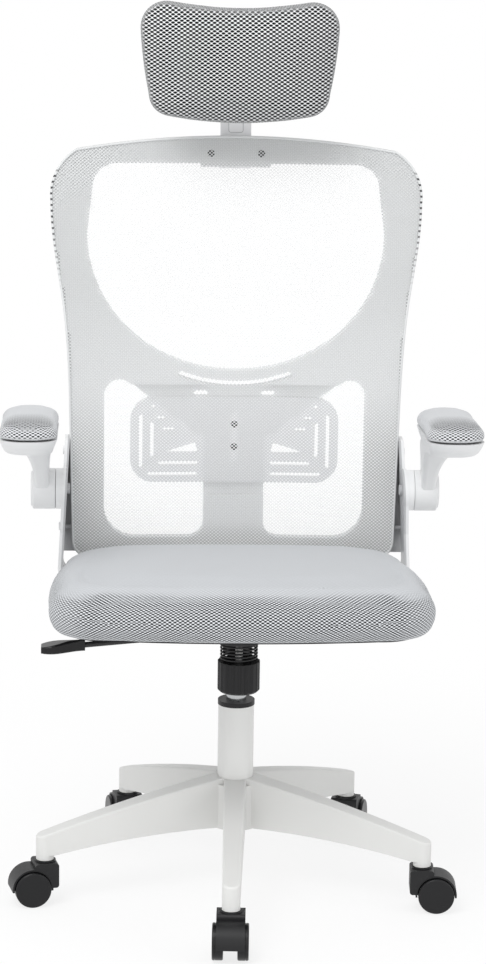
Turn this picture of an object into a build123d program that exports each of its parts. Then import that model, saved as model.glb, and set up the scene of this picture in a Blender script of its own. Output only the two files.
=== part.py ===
from build123d import *
import math
import os

# Task chair with a mesh back, headrest, flip-up arms and a five-caster star base.
# Millimetres, +Z up, the chair faces -Y, origin on the floor under the gas column.

# Fits
RUN = 0.05                 # radial clearance of a pin or shaft that turns or slides
SNUG = 0.02                # radial clearance of a pin that stays in its hole
AIR = 0.3                  # air between soft or curved pieces that lie together

# Casters
WHEEL_R = 25.0
WHEEL_IN = 9.5             # inner face of each wheel, from the caster's middle
WHEEL_OUT = 24.5           # outer face of each wheel
WHEEL_EDGE = 2.0           # rounding of the tread's edges
GROOVE_AT = 19.9           # groove between tread and outer disc
GROOVE_W = 0.7
GROOVE_DEEP = 0.8
TRAIL = 20.0               # axle behind the swivel stem
AXLE_R = 3.0
AXLE_HALF = 22.0
HOOD_WALL = 2.5
HOOD_GAP = 1.0             # air between wheel and hood
HOOD_HALF_W = 19.25
HOOD_BOTTOM = 22.0
HOOD_BLOCK = 33.0          # length of the block round the stem
HOOD_BLOCK_H = 35.0
HOOD_ROUND = 4.0
WEB_HALF = 9.0             # middle web that holds the axle
AXLE_BOSS_R = 7.0
COLLAR_R = 15.0
COLLAR_H = 1.7
COLLAR_GAP = 0.8           # air between collar and leg
STEM_R = 5.5
STEM_IN_HOOD = 20.0
STEM_IN_LEG = 25.0
CASTER_TURN = (0.0, 18.0, 23.5, -21.5, -3.0)     # how each caster is turned from its leg, as it stands

# Star base
LEG_COUNT = 5
BASE_TURN = -3.0           # how far the star is turned on its swivel, as it stands
STEM_CIRCLE_R = 274.4
LEG_END_W = 24.6
LEG_ROOT_W = 31.5
LEG_END_BOTTOM = 63.0
LEG_ROOT_R = 30.0
LEG_MID_R = 165.0
LEG_END_H = 34.0           # boss at the leg's end, foot to top
LEG_MID_RISE = 34.5        # top of the leg at its middle, above its end
LEG_ROOT_RISE = 65.0       # and at its root
LEG_BOSS = 7.0             # boss below the underside of the leg
LEG_MID_LIFT = 14.0        # underside at the middle, above that at the end
LEG_ROOT_LIFT = 21.0
LEG_EDGE = 3.0             # rounding of the legs' upper edges
HUB_R = 33.0
HUB_BELOW = 1.0            # hub below the underside of the legs
HUB_H = 64.0

# Gas column
TUBE_R = 25.0
TUBE_WALL = 2.0
TUBE_LENGTH = 175.0
TUBE_FLOOR = 3.0
BUSH_FLANGE_R = 25.7
BUSH_FLANGE = 6.5
BUSH_DEEP = 66.0
CYLINDER_R = 14.0
CYLINDER_WALL = 2.0
CYLINDER_LENGTH = 199.0
CYLINDER_OUT = 110.0       # cylinder above the tube, as it stands
CYLINDER_PLUG = 15.0
GUIDE_LENGTH = 14.0
ROD_R = 5.0
PISTON_R = 11.95
PISTON_UP = 56.0           # piston above the cylinder's foot, as it stands
PISTON_LENGTH = 12.0
RACE_R = 13.0
RACE_T = 3.0
BALL_R = 2.5
BALL_COUNT = 9
BALL_CIRCLE_R = 9.2
ROD_COLLAR_R = 10.0
ROD_COLLAR_T = 6.0
CLIP_R = 9.0
CLIP_T = 3.0
CLIP_WASHER_R = 11.0
CLIP_WASHER_T = 3.5
RELEASE_PIN_R = 3.0
RELEASE_PIN_PROUD = 4.0
RELEASE_PIN_LENGTH = 34.0

# Tilt mechanism
STEEL = 3.0                # sheet of the housing and the seat plate
HOUSING_HALF_W = 40.0
HOUSING_REAR = 70.0
HOUSING_BELOW = 11.0       # floor of the deep rear, below the cylinder's top
HOUSING_RISE = 18.0        # floor of the shallow front, above that of the deep rear
HOUSING_FRONT_H = 8.0
HOUSING_LIP = 5.0          # housing in front of the spring's cup
SOCKET_R = 20.0
SOCKET_LENGTH = 36.0
PIVOT_UP = 4.0             # tilt shaft above the housing's rim
EAR_R = 9.0
SHAFT_R = 5.0
SHAFT_HEAD_R = 7.5
SHAFT_HEAD_T = 3.0
KNOB_Y = -66.0
KNOB_R = 29.0
KNOB_H = 43.0
SPRING_ROOM = 36.0         # knob to housing
KNOB_FLUTES = 20
KNOB_FLUTE_R = 3.0
KNOB_FLUTE_DEEP = 1.1
KNOB_CHAMFER = 3.0
KNOB_FLOOR = 8.0
BOLT_R = 5.0
BOLT_HOLE_R = 5.6
BARREL_R = 6.0
BARREL_HALF = 14.0
YOKE_HALF_W = 23.0
YOKE_HALF_Y = 12.0
YOKE_CLEAR = 3.0           # yoke above the floor of the housing
YOKE_SLOT_HALF_X = 6.0
YOKE_SLOT_HALF_Y = 9.5
CUP_R = 33.0
CUP_WALL = 3.0
CUP_DEEP = 8.0
SPRING_R = 24.6            # middle of the wire
SPRING_WIRE_R = 1.4
SPRING_TURNS = 7
SPRING_ARCS = 4            # biarcs in one turn
SPRING_GAP_LEAST = 0.4

# Height lever
LEVER_R = 4.0
LEVER_PIVOT_X = -30.0
LEVER_INNER_X = -22.5      # where the rod ends under the tongue
LEVER_UP = 14.0            # pivot above the floor of the housing
LEVER_ELBOW_X = -72.0
LEVER_KNEE_X = -112.0
LEVER_DROP = 19.5          # knee below the pivot
LEVER_END_X = -236.0
LEVER_FALL = 12.0          # end below the knee
LEVER_BEND = 18.0
LEVER_PIN_R = 2.5
LUG_T = 3.0
LUG_HALF_X = 6.0
LUG_GAP = 0.4
LUG_ABOVE_PIN = 6.0
TONGUE_HALF_Y = 6.0
TONGUE_T = 4.4
TONGUE_GAP = 0.6           # air over the release pin at rest
TONGUE_PAST_PIN = 6.0
WINDOW_HALF_Y = 8.0
WINDOW_CLEAR = 1.0         # window below the rod
GRIP_START_X = -211.0
GRIP_TIP_X = -272.0
GRIP_W = 30.0
GRIP_H = 16.0
GRIP_CORNER = 0.25         # corner of a section, as a share of its lesser side
# Share of the grip's length, and of its width and height there
GRIP_SECTIONS = ((0.0, 0.47, 0.94), (0.45, 0.57, 1.0), (0.72, 1.0, 0.81), (1.0, 0.73, 0.56))

# Seat
PLATE_UP = 12.0            # plate above the tilt shaft
PLATE_HALF_W = 75.0
PLATE_FRONT = -130.0
PLATE_REAR = 120.0
BOARD_T = 12.0
BOARD_INSET = 26.0
SEAT_HALF_W = 266.0
SEAT_FRONT = -238.0
SEAT_REAR = 190.0
SEAT_FRONT_BOW = 14.0
SEAT_REAR_BOW = 7.0
SEAT_FRONT_CORNER = 66.0
SEAT_REAR_CORNER = 76.0
SEAT_REAR_NARROW = 4.0     # rear corners inside the outer faces of the brackets
SEAT_SIDE_DRAW = 2.0       # sides drawn in at the front corners
FRONT_CORNER_X = 0.29      # middle of a front corner, as a share of its length
FRONT_CORNER_Y = 0.27
REAR_CORNER_X = 0.26
REAR_CORNER_Y = 0.32
SEAT_WIDE_Y = -60.0        # where the seat is widest
CUSHION_H = 58.7           # bottom to crown at the column
CUSHION_SLOPE = 4.5        # fall of the top towards the rear
CUSHION_DRAW = 104.0       # how far the edge is drawn in at the crown
CUSHION_LEAN_IN = 1.15     # how soon the sections take up the slope
# Share of the cushion's height, and of the edge's draw there
CUSHION_LEVELS = ((0.0, 0.16), (0.28, 0.02), (0.56, 0.0), (0.8, 0.106), (0.94, 0.404), (1.0, 1.0))
SEAT_BOLT_R = 4.0
SEAT_BOLT_HEAD_R = 6.5
SEAT_BOLT_HEAD_T = 5.0
SEAT_BOLT_LENGTH = 12.0
SEAT_BOLT_IN = 15.0        # bolts from the plate's sides
SEAT_BOLT_FRONT_IN = 30.0
SEAT_BOLT_REAR_IN = 25.0

# Back
BACK_CURVE_R = 1960.0      # hollow of the back across its width
BACK_BEHIND = 15.0         # front face at the middle, low down, behind the seat
BACK_T = 18.0
BACK_UP = 17.0             # foot of the back above the seat plate
BACK_STRAIGHT = 268.0      # foot to bend
BACK_BEND_R = 450.0
BACK_LEAN = 13.0
BACK_WAIST_UP = 186.0      # foot to waist
BACK_WIDE_UP = 324.0       # waist to widest place
BACK_CORNER_UP = 71.0      # widest place to the ends of the top
BACK_CROWN = 18.0          # rise of the top to its middle
BACK_WIDE_X = 262.5
BACK_CORNER_IN = 35.0      # ends of the top, from the widest place
BACK_WAIST_IN = 28.5
BACK_FOOT_IN = 32.5
BACK_FLARE_OUT = 0.375     # place between waist and widest, as shares
BACK_FLARE_UP = 0.565
BACK_BULGE_X = 0.76        # middle of the top corner, between its two ends
BACK_BULGE_Z = 0.62
BACK_FOOT_ROUND = 26.0
TOP_RAIL = 37.0            # frame above the upper, D-shaped opening
SIDE_RAIL = 50.5
UPPER_CROWN = 97.0         # opening's top to its widest place
UPPER_BOWL = 193.0         # widest place to its foot
UPPER_DRAW = 11.0          # top of the opening, from its widest place
UPPER_ROUND = 34.0
FOOT_SIDE_RAIL = 43.5      # frame beside the pair of lower openings
SPINE_HALF = 43.0          # frame between them
LOWER_RISE = 10.0          # outer top of the lower openings, above the foot of the upper one
LOWER_FALL = 108.0         # and how far their top falls towards the spine
FOOT_RAIL = 28.0
LOWER_ROUND = 22.0
LOWER_FOOT_ROUND = 45.0    # outer lower corners
ARC_SLOT_R = 215.0
ARC_SLOT_BELOW = 19.0      # curved slot below the upper opening
ARC_SLOT_HALF = 21.0       # degrees each side of the middle
ARC_SLOT_W = 8.5
DASH_X = 48.0
DASH_BELOW = 15.0          # dashes below the curved slot
DASH_W = 20.0
DASH_H = 7.5
MESH_T = 1.6

# Lumbar support
LUMBAR_HALF_W = 149.0
LUMBAR_UP = 81.0           # foot of the pad above that of the openings
LUMBAR_H = 125.0
LUMBAR_ROUND = 34.0
LUMBAR_T = 6.0
LUMBAR_SET_BACK = 1.2      # behind the front of the frame
LUMBAR_TRAVEL = 15.0
LUMBAR_CLEAR = 3.0
LUMBAR_RECESS = 8.6
LUMBAR_SLOT_W = 5.0
LUMBAR_SLOT_INSET = 15.0   # outer slot from the pad's side
LUMBAR_SLOT_RISE = 12.0    # outer slot above the pad's foot
LUMBAR_SLOT_STEP = 16.0    # inner slot and window from the slot outside them
LUMBAR_SLOT_TOP = 26.0     # outer slot's end below the pad's top
LUMBAR_SLOT_MID = 52.0     # where the slots end beside the middle
LUMBAR_SLOT_CORNER = 9.5   # slots end this far from the corner they form
LUMBAR_WINDOW_H = 14.0
LUMBAR_WINDOW_LEAN = 4.0
LUMBAR_WINDOW_ROUND = 1.2
LUMBAR_DASH_H = 3.5
LUMBAR_DASH_INSET = 33.0   # first dash from the pad's side
LUMBAR_DASH_BELOW = 14.0   # first dash below the pad's top
LUMBAR_DASH_W = 6.0
LUMBAR_DASH_STEP_X = 11.0  # each next dash further in, lower and longer
LUMBAR_DASH_STEP_Z = 16.5
LUMBAR_DASH_GROW = 5.5
LUMBAR_DASHES = 3
LUMBAR_SCREW_R = 3.0
LUMBAR_HEAD_R = 5.0
LUMBAR_HEAD_T = 2.6
LUMBAR_NUT_R = 8.0
LUMBAR_NUT_T = 5.0
LUMBAR_SCREW_UP = 52.0     # lower screw above the pad's foot
LUMBAR_SCREW_APART = 33.0

# Headrest
HEAD_SCREW_BELOW = 23.0    # height of the two screws, below the top of the back
BRACKET_SCREW_X = 36.0
BRACKET_HALF_W = 50.0
BRACKET_DOWN = 16.0
BRACKET_UP = 17.0
BRACKET_T = 19.0
STEM_W = 44.0
STEM_T = 10.0
STEM_SLIDE = 0.08          # clearance of the stem in its bracket
STEM_WALL = 4.0
STEM_DOWN = 18.0
STEM_UP = 52.0
STEM_BEND_R = 62.0
STEM_BEND = 58.0
STEM_LAST = 45.0
STEM_RIB_W = 23.0
STEM_RIB_T = 1.6
STEM_RIB_FROM = 25.0
KNUCKLE_R = 9.0
KNUCKLE_HALF = 13.0
HEAD_PIN_R = 3.0
HEAD_LUG_T = 5.0
HEAD_LUG_GAP = 0.3
HEAD_SCREW_R = 2.5
HEAD_SCREW_HEAD_R = 5.0
HEAD_SCREW_HEAD_T = 3.0
HEAD_SCREW_LENGTH = 27.0
HEADREST_UP = 1.9          # middle of the pad above its pivot
HEADREST_AHEAD = 40.3      # rear of the pad in front of its pivot
HEADREST_DEEP = 64.0
HEADREST_LOBE_X = 95.0
HEADREST_LOBE_UP = 85.5
HEADREST_DIP_UP = 76.5
HEADREST_HALF_W = 141.0
HEADREST_WIDE_UP = 46.0
HEADREST_LOW_X = 129.0
HEADREST_LOW_DOWN = 43.0
HEADREST_FOOT_X = 101.5
HEADREST_FOOT_DOWN = 76.5
HEADREST_BOTTOM_DOWN = 85.5
HEADREST_LOBE_FULL = 0.76  # middle of an upper corner, between its two ends
HEADREST_LOBE_DROP = 10.0
HEADREST_SIDE_BOW = 1.5
HEADREST_FOOT_IN = 9.0
HEADREST_FOOT_LIFT = 10.0
# Share of the pad's depth from the rear, and the outline's share there
HEADREST_LEVELS = ((0.0, 0.86), (0.14, 0.965), (0.42, 1.0), (0.7, 0.955), (0.9, 0.82), (1.0, 0.58))
SHELL_T = 6.0
SHELL_SHARE = 0.84         # shell outline against the pad's

# Side brackets and arms
BRACKET_STEEL = 7.0
BRACKET_TOP_UP = 176.0     # top of the bracket above the foot of the back
BRACKET_TOP_GAP = 1.0      # air between back and bracket at the waist
BRACKET_LOW_GAP = 14.0     # and at the foot
BRACKET_FOOT_X = 70.0
BRACKET_BEND = 18.0
BRACKET_FOOT_DEEP = 62.0   # foot of the bracket, front to rear
BRACKET_FOOT_SHORT = 5.0   # rear of the foot in front of the back
BRACKET_TOP_DEEP = 34.0
BRACKET_FLANGE_T = 4.0     # flange behind the edge of the back
BRACKET_FLANGE_LAP = 8.0
BRACKET_FLANGE_SHORT = 5.0 # from the top of the bracket and the foot of the back
BRACKET_RIM = 2.0          # bracket round the boss
BRACKET_FLARE_LOW = 93.0   # where the bracket starts to widen, below the arm's pivot
BRACKET_FLARE_HIGH = 62.0
BRACKET_SHOULDER_Y = 18.6  # shoulder above the boss, from the arm's pivot
BRACKET_SHOULDER_Z = 24.8
SINK = 1.0                 # depth of a shallow seat for a screw's head
FOOT_BOLT_BACK = 9.0       # bolts behind the front of the foot
FOOT_BOLT_IN = 100.0
FOOT_BOLT_OUT = 150.0
SIDE_BOLT_UP = 44.0        # lower side bolt above the foot of the back
SIDE_BOLT_BELOW = 20.0     # upper one below the top of the bracket
SIDE_BOLT_R = 3.0
SIDE_BOLT_DEEP = 22.0
SIDE_HEAD_R = 6.0
SIDE_HEAD_T = 4.0
ARM_AHEAD = 55.0           # arm's pivot in front of the back
ARM_UP = 111.0             # and above its foot
BOSS_R = 29.0
BOSS_PROUD = 3.0           # where the arm meets the bracket, outside its foot
BOSS_W = 33.0
BOSS_JOINT = 0.4
BOSS_EDGE = 2.0
CAP_R = 25.0
CAP_T = 2.5
ARM_PIN_R = 4.0
ARM_PIN_HEAD_R = 7.5
ARM_PIN_HEAD_T = 5.0
PAD_OUT = 34.0             # middle of the pad outside the joint
PAD_HALF_W = 40.5
PAD_L = 212.0
PAD_SHORT = 50.0           # rear of the pad in front of the pivot
PAD_ROUND = 34.0
PAD_UP = 116.0             # middle of the pad's foot above the pivot
PAD_H = 24.0
PAD_SLOPE = 3.0            # rise of the pad towards its front
TRAY_INSET = 1.5
ARM_NECK_UP = 47.0         # narrowest place of the arm, from the pivot
ARM_NECK_OUT = 21.5
ARM_NECK_W = 26.0
ARM_NECK_AHEAD = 32.0
ARM_NECK_L = 56.0
ARM_SWELL_UP = 80.0        # where it widens below the tray
ARM_SWELL_OUT = 27.0
ARM_SWELL_W = 44.0
ARM_SWELL_AHEAD = 76.0
ARM_SWELL_L = 108.0
TRAY_EDGE = 12.0
TRAY_DRAW_X = 8.0          # tray drawn in below its edge, across
TRAY_DRAW_Y = 14.0         # and along
TRAY_SHIFT = 4.0
ARM_ROOT_L = 49.0
ARM_ROOT_DRAW = 8.0
ARM_ROOT_SHIFT = 3.0
ARM_CORNER = 7.0
ARM_SWELL_CORNER = 14.0
PAD_DRAW = 22.0            # how far the edge is drawn in at the top
# Share of a pad's height, and of the edge's draw there
PAD_LEVELS = ((0.0, 0.11), (0.3, 0.0), (0.6, 0.09), (0.84, 0.41), (1.0, 1.0))
PAD_CORNER_DRAW = 0.85     # how much a corner tightens as the edge draws in

# Heights and places that follow from the sizes above
COLLAR_TOP = LEG_END_BOTTOM - COLLAR_GAP
HOOD_TOP = COLLAR_TOP - COLLAR_H
STEM_BOTTOM = HOOD_TOP - STEM_IN_HOOD
LEG_END_TOP = LEG_END_BOTTOM + LEG_END_H
LEG_MID_TOP = LEG_END_TOP + LEG_MID_RISE
LEG_ROOT_TOP = LEG_END_TOP + LEG_ROOT_RISE
LEG_TIP_BOTTOM = LEG_END_BOTTOM + LEG_BOSS
LEG_MID_BOTTOM = LEG_TIP_BOTTOM + LEG_MID_LIFT
LEG_ROOT_BOTTOM = LEG_TIP_BOTTOM + LEG_ROOT_LIFT
HUB_BOTTOM = LEG_ROOT_BOTTOM - HUB_BELOW
HUB_TOP = HUB_BOTTOM + HUB_H
TUBE_BOTTOM = HUB_BOTTOM + HUB_BELOW
TUBE_TOP = TUBE_BOTTOM + TUBE_LENGTH
BUSH_TOP = TUBE_TOP + BUSH_FLANGE
CYLINDER_TOP = TUBE_TOP + CYLINDER_OUT
CYLINDER_BOTTOM = CYLINDER_TOP - CYLINDER_LENGTH
PISTON_BOTTOM = CYLINDER_BOTTOM + PISTON_UP
RELEASE_PIN_TOP = CYLINDER_TOP + RELEASE_PIN_PROUD
SOCKET_BOTTOM = CYLINDER_TOP - SOCKET_LENGTH
HOUSING_DEEP_Z = CYLINDER_TOP - HOUSING_BELOW
HOUSING_SHALLOW_Z = HOUSING_DEEP_Z + HOUSING_RISE
HOUSING_RIM_Z = HOUSING_SHALLOW_Z + HOUSING_FRONT_H
HOUSING_FRONT = KNOB_Y - CUP_R - HOUSING_LIP
HOUSING_STEP = KNOB_Y + CUP_R + SINK
PIVOT_Z = HOUSING_RIM_Z + PIVOT_UP
YOKE_BOTTOM = HOUSING_SHALLOW_Z + STEEL + YOKE_CLEAR
KNOB_TOP = HOUSING_SHALLOW_Z - SPRING_ROOM
KNOB_BOTTOM = KNOB_TOP - KNOB_H
SPRING_SEAT_LOW = KNOB_TOP + AIR + SPRING_WIRE_R
SPRING_SEAT_HIGH = HOUSING_SHALLOW_Z - AIR - SPRING_WIRE_R
LEVER_Z = HOUSING_DEEP_Z + LEVER_UP
LEVER_KNEE_Z = LEVER_Z - LEVER_DROP
LEVER_END_Z = LEVER_KNEE_Z - LEVER_FALL
WINDOW_BOTTOM = LEVER_Z - LEVER_R - WINDOW_CLEAR
PLATE_BOTTOM = PIVOT_Z + PLATE_UP
PLATE_TOP = PLATE_BOTTOM + STEEL
SEAT_BOLT_X = PLATE_HALF_W - SEAT_BOLT_IN
SEAT_BOLT_FRONT = PLATE_FRONT + SEAT_BOLT_FRONT_IN
SEAT_BOLT_REAR = PLATE_REAR - SEAT_BOLT_REAR_IN
CUSHION_BOTTOM = PLATE_TOP + AIR
BACK_Y = SEAT_REAR + BACK_BEHIND
BACK_BOTTOM = PLATE_TOP + BACK_UP
BACK_BEND_Z = BACK_BOTTOM + BACK_STRAIGHT
BACK_WAIST_Z = BACK_BOTTOM + BACK_WAIST_UP
BACK_WIDE_Z = BACK_WAIST_Z + BACK_WIDE_UP
BACK_CORNER_Z = BACK_WIDE_Z + BACK_CORNER_UP
BACK_TOP_MID = BACK_CORNER_Z + BACK_CROWN
BACK_CORNER_X = BACK_WIDE_X - BACK_CORNER_IN
BACK_WAIST_X = BACK_WIDE_X - BACK_WAIST_IN
BACK_FOOT_X = BACK_WIDE_X - BACK_FOOT_IN
BACK_FLARE_X = BACK_WAIST_X + BACK_FLARE_OUT * BACK_WAIST_IN
BACK_FLARE_Z = BACK_WAIST_Z + BACK_FLARE_UP * BACK_WIDE_UP
UPPER_TOP = BACK_TOP_MID - TOP_RAIL
UPPER_WIDE_Z = UPPER_TOP - UPPER_CROWN
UPPER_BOTTOM = UPPER_WIDE_Z - UPPER_BOWL
UPPER_HALF_W = BACK_WIDE_X - SIDE_RAIL
UPPER_TOP_HALF_W = UPPER_HALF_W - UPPER_DRAW
LOWER_OUT_X = BACK_FOOT_X - FOOT_SIDE_RAIL
LOWER_TOP_OUT = UPPER_BOTTOM + LOWER_RISE
LOWER_TOP_IN = LOWER_TOP_OUT - LOWER_FALL
LOWER_BOTTOM = BACK_BOTTOM + FOOT_RAIL
ARC_SLOT_Z = UPPER_BOTTOM - ARC_SLOT_BELOW
DASH_Z = ARC_SLOT_Z - DASH_BELOW
LUMBAR_BOTTOM = LOWER_BOTTOM + LUMBAR_UP
LUMBAR_TOP = LUMBAR_BOTTOM + LUMBAR_H
LUMBAR_SCREW_LOW = LUMBAR_BOTTOM + LUMBAR_SCREW_UP
LUMBAR_SCREW_HIGH = LUMBAR_SCREW_LOW + LUMBAR_SCREW_APART
BRACKET_Z = BACK_TOP_MID - HEAD_SCREW_BELOW
FOOT_BOTTOM = PLATE_TOP - BRACKET_STEEL
BRACKET_TOP_Z = BACK_BOTTOM + BRACKET_TOP_UP
BRACKET_TOP_X = BACK_WAIST_X + BRACKET_TOP_GAP + BRACKET_STEEL
BRACKET_LOW_X = BACK_FOOT_X + BRACKET_LOW_GAP + BRACKET_STEEL
FLANGE_LAP_X = BACK_FOOT_X - BRACKET_FLANGE_LAP
FLANGE_FRONT = BACK_Y + BACK_T - FLANGE_LAP_X ** 2 / (2 * BACK_CURVE_R) + AIR
BRACKET_REAR = FLANGE_FRONT + BRACKET_FLANGE_T
BRACKET_FOOT_REAR = BACK_Y - BRACKET_FOOT_SHORT
BRACKET_FRONT = BRACKET_FOOT_REAR - BRACKET_FOOT_DEEP
BRACKET_TOP_FRONT = BRACKET_REAR - BRACKET_TOP_DEEP
FOOT_BOLT_Y = BRACKET_FRONT + FOOT_BOLT_BACK
SIDE_BOLT_Y = BACK_Y + BACK_T / 2 - BACK_FOOT_X ** 2 / (2 * BACK_CURVE_R)
SIDE_BOLT_LOW = BACK_BOTTOM + SIDE_BOLT_UP
SIDE_BOLT_HIGH = BRACKET_TOP_Z - SIDE_BOLT_BELOW
ARM_Y = BACK_Y - ARM_AHEAD
ARM_Z = BACK_BOTTOM + ARM_UP
BOSS_IN = BRACKET_LOW_X + BOSS_PROUD
BOSS_OUT = BOSS_IN + BOSS_W
PAD_X = BOSS_IN + PAD_OUT
PAD_MID = ARM_Y - PAD_SHORT - PAD_L / 2
PAD_BOTTOM = ARM_Z + PAD_UP
LEAN = math.radians(BACK_LEAN)
FAR = 400.0                # longer than any piece that is cut


def upright(radius, low, high, x=0.0, y=0.0):
    """Round bar along Z."""
    bar = Cylinder(radius, high - low, align=(Align.CENTER, Align.CENTER, Align.MIN))
    return Pos(x, y, low) * bar


def crossbar(radius, left, right, y, z):
    """Round bar along X."""
    bar = Cylinder(radius, right - left, align=(Align.CENTER, Align.CENTER, Align.MIN))
    return Pos(left, y, z) * Rot(0, 90, 0) * bar


def lengthwise(radius, front, rear, x, z):
    """Round bar along Y."""
    bar = Cylinder(radius, rear - front, align=(Align.CENTER, Align.CENTER, Align.MIN))
    return Pos(x, front, z) * Rot(-90, 0, 0) * bar


def block(x0, x1, y0, y1, z0, z1):
    """Box between two corners."""
    box = Box(x1 - x0, y1 - y0, z1 - z0, align=(Align.MIN, Align.MIN, Align.MIN))
    return Pos(x0, y0, z0) * box


def panel(x0, x1, y0, y1):
    """Flat rectangle between two corners."""
    return Pos((x0 + x1) / 2, (y0 + y1) / 2) * Rectangle(x1 - x0, y1 - y0)


def arc_loop(points):
    """Flat face bounded by arcs: every second point is the middle of an arc."""
    count = len(points)
    arcs = []
    for i in range(0, count, 2):
        arcs.append(ThreePointArc(points[i], points[i + 1], points[(i + 2) % count]))
    return make_face(arcs)


def mirrored_loop(half, far_mid, near_mid):
    """Points of a loop that is the same on both sides of X = 0."""
    other = [(-x, y) for x, y in reversed(half)]
    return half + [(0.0, far_mid)] + other + [(0.0, near_mid)]


def both_sides(right):
    """A piece on the right and its mirror image on the left."""
    return right, mirror(right, about=Plane.YZ)


# Casters

def caster_hood():
    arch_r = WHEEL_R + HOOD_GAP + HOOD_WALL
    arch = Pos(TRAIL, WHEEL_R) * Circle(arch_r) - panel(-FAR, FAR, -FAR, HOOD_BOTTOM)
    block_face = Pos(0, HOOD_TOP - HOOD_BLOCK_H / 2) * RectangleRounded(HOOD_BLOCK, HOOD_BLOCK_H, HOOD_ROUND)
    hood = extrude(Plane.XZ * (arch + block_face), HOOD_HALF_W, both=True)
    hood += upright(COLLAR_R, HOOD_TOP - HOOD_ROUND, COLLAR_TOP)
    for front, rear in ((-FAR, -WEB_HALF), (WEB_HALF, FAR)):
        hood -= lengthwise(WHEEL_R + HOOD_GAP, front, rear, TRAIL, WHEEL_R)
    hood += lengthwise(AXLE_BOSS_R, -WEB_HALF, WEB_HALF, TRAIL, WHEEL_R)
    hood -= upright(STEM_R + SNUG, STEM_BOTTOM, COLLAR_TOP)
    hood -= lengthwise(AXLE_R + SNUG, -WEB_HALF, WEB_HALF, TRAIL, WHEEL_R)
    return hood


def caster_pins():
    stem = upright(STEM_R, STEM_BOTTOM, LEG_END_BOTTOM + STEM_IN_LEG)
    axle = lengthwise(AXLE_R, -AXLE_HALF, AXLE_HALF, TRAIL, WHEEL_R)
    return [stem, axle]


def caster_wheel():
    wheel = lengthwise(WHEEL_R, WHEEL_IN, WHEEL_OUT, TRAIL, WHEEL_R)
    wheel = fillet(wheel.edges().filter_by(GeomType.CIRCLE), WHEEL_EDGE)
    groove = lengthwise(WHEEL_R + HOOD_GAP, GROOVE_AT, GROOVE_AT + GROOVE_W, TRAIL, WHEEL_R)
    groove -= lengthwise(WHEEL_R - GROOVE_DEEP, GROOVE_AT, GROOVE_AT + GROOVE_W, TRAIL, WHEEL_R)
    wheel -= groove
    wheel -= lengthwise(AXLE_R + RUN, WHEEL_IN, AXLE_HALF + RUN, TRAIL, WHEEL_R)
    return wheel


def leg_angle(index):
    return 270.0 + BASE_TURN + index * 360.0 / LEG_COUNT


def at_leg_end(index, piece):
    return Rot(0, 0, leg_angle(index)) * Pos(STEM_CIRCLE_R, 0, 0) * Rot(0, 0, CASTER_TURN[index]) * piece


# Star base

def star_leg():
    end_r = LEG_END_W / 2
    tip = STEM_CIRCLE_R + end_r
    inner = STEM_CIRCLE_R - end_r
    top = ThreePointArc((LEG_ROOT_R, LEG_ROOT_TOP), (LEG_MID_R, LEG_MID_TOP), (tip, LEG_END_TOP))
    under = ThreePointArc((inner, LEG_TIP_BOTTOM), (LEG_MID_R, LEG_MID_BOTTOM), (LEG_ROOT_R, LEG_ROOT_BOTTOM))
    tip_side = Polyline((tip, LEG_END_TOP), (tip, LEG_TIP_BOTTOM), (inner, LEG_TIP_BOTTOM))
    root = Polyline((LEG_ROOT_R, LEG_ROOT_BOTTOM), (0, LEG_ROOT_BOTTOM), (0, LEG_ROOT_TOP),
                    (LEG_ROOT_R, LEG_ROOT_TOP))
    side = make_face(top.edges() + tip_side.edges() + under.edges() + root.edges())
    plan = make_face(Polyline((0, -LEG_ROOT_W / 2), (STEM_CIRCLE_R, -end_r), (STEM_CIRCLE_R, end_r),
                              (0, LEG_ROOT_W / 2), close=True))
    plan += Pos(STEM_CIRCLE_R, 0) * Circle(end_r)
    leg = extrude(Plane.XZ * side, LEG_ROOT_W, both=True) & extrude(plan, FAR)
    outer = leg.edges().filter_by(lambda edge: edge.center().X > LEG_ROOT_R)
    leg = fillet(outer.filter_by(lambda edge: edge.center().Z > LEG_END_TOP - LEG_EDGE), LEG_EDGE)
    return leg + upright(end_r, LEG_END_BOTTOM, LEG_END_BOTTOM + LEG_END_H / 2, STEM_CIRCLE_R)


def star_base():
    star = upright(HUB_R, HUB_BOTTOM, HUB_TOP)
    leg = star_leg()
    for index in range(LEG_COUNT):
        star += Rot(0, 0, leg_angle(index)) * leg
    star -= upright(TUBE_R + SNUG, 0, FAR)
    socket = upright(STEM_R + RUN, LEG_END_BOTTOM, LEG_END_BOTTOM + STEM_IN_LEG + AIR)
    for index in range(LEG_COUNT):
        star -= at_leg_end(index, socket)
    return star


# Gas column

def column_tube():
    tube = upright(TUBE_R, TUBE_BOTTOM, TUBE_TOP)
    tube -= upright(TUBE_R - TUBE_WALL, TUBE_BOTTOM + TUBE_FLOOR, TUBE_TOP)
    return tube - upright(ROD_R + AIR, TUBE_BOTTOM, TUBE_BOTTOM + TUBE_FLOOR)


def column_bush():
    bush = upright(BUSH_FLANGE_R, TUBE_TOP, BUSH_TOP)
    bush += upright(TUBE_R - TUBE_WALL - SNUG, TUBE_TOP - BUSH_DEEP, TUBE_TOP)
    return bush - upright(CYLINDER_R + RUN, TUBE_TOP - BUSH_DEEP, BUSH_TOP)


def thrust_bearing():
    low = TUBE_BOTTOM + TUBE_FLOOR
    bore = upright(ROD_R + AIR, low, low + 2 * RACE_T + 2 * BALL_R)
    pieces = []
    for race in (low, low + RACE_T + 2 * BALL_R):
        pieces.append(upright(RACE_R, race, race + RACE_T) - bore)
    for index in range(BALL_COUNT):
        ring = Rot(0, 0, index * 360.0 / BALL_COUNT) * Pos(BALL_CIRCLE_R, 0, low + RACE_T + BALL_R)
        pieces.append(ring * Sphere(BALL_R - SNUG))
    return pieces


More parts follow.
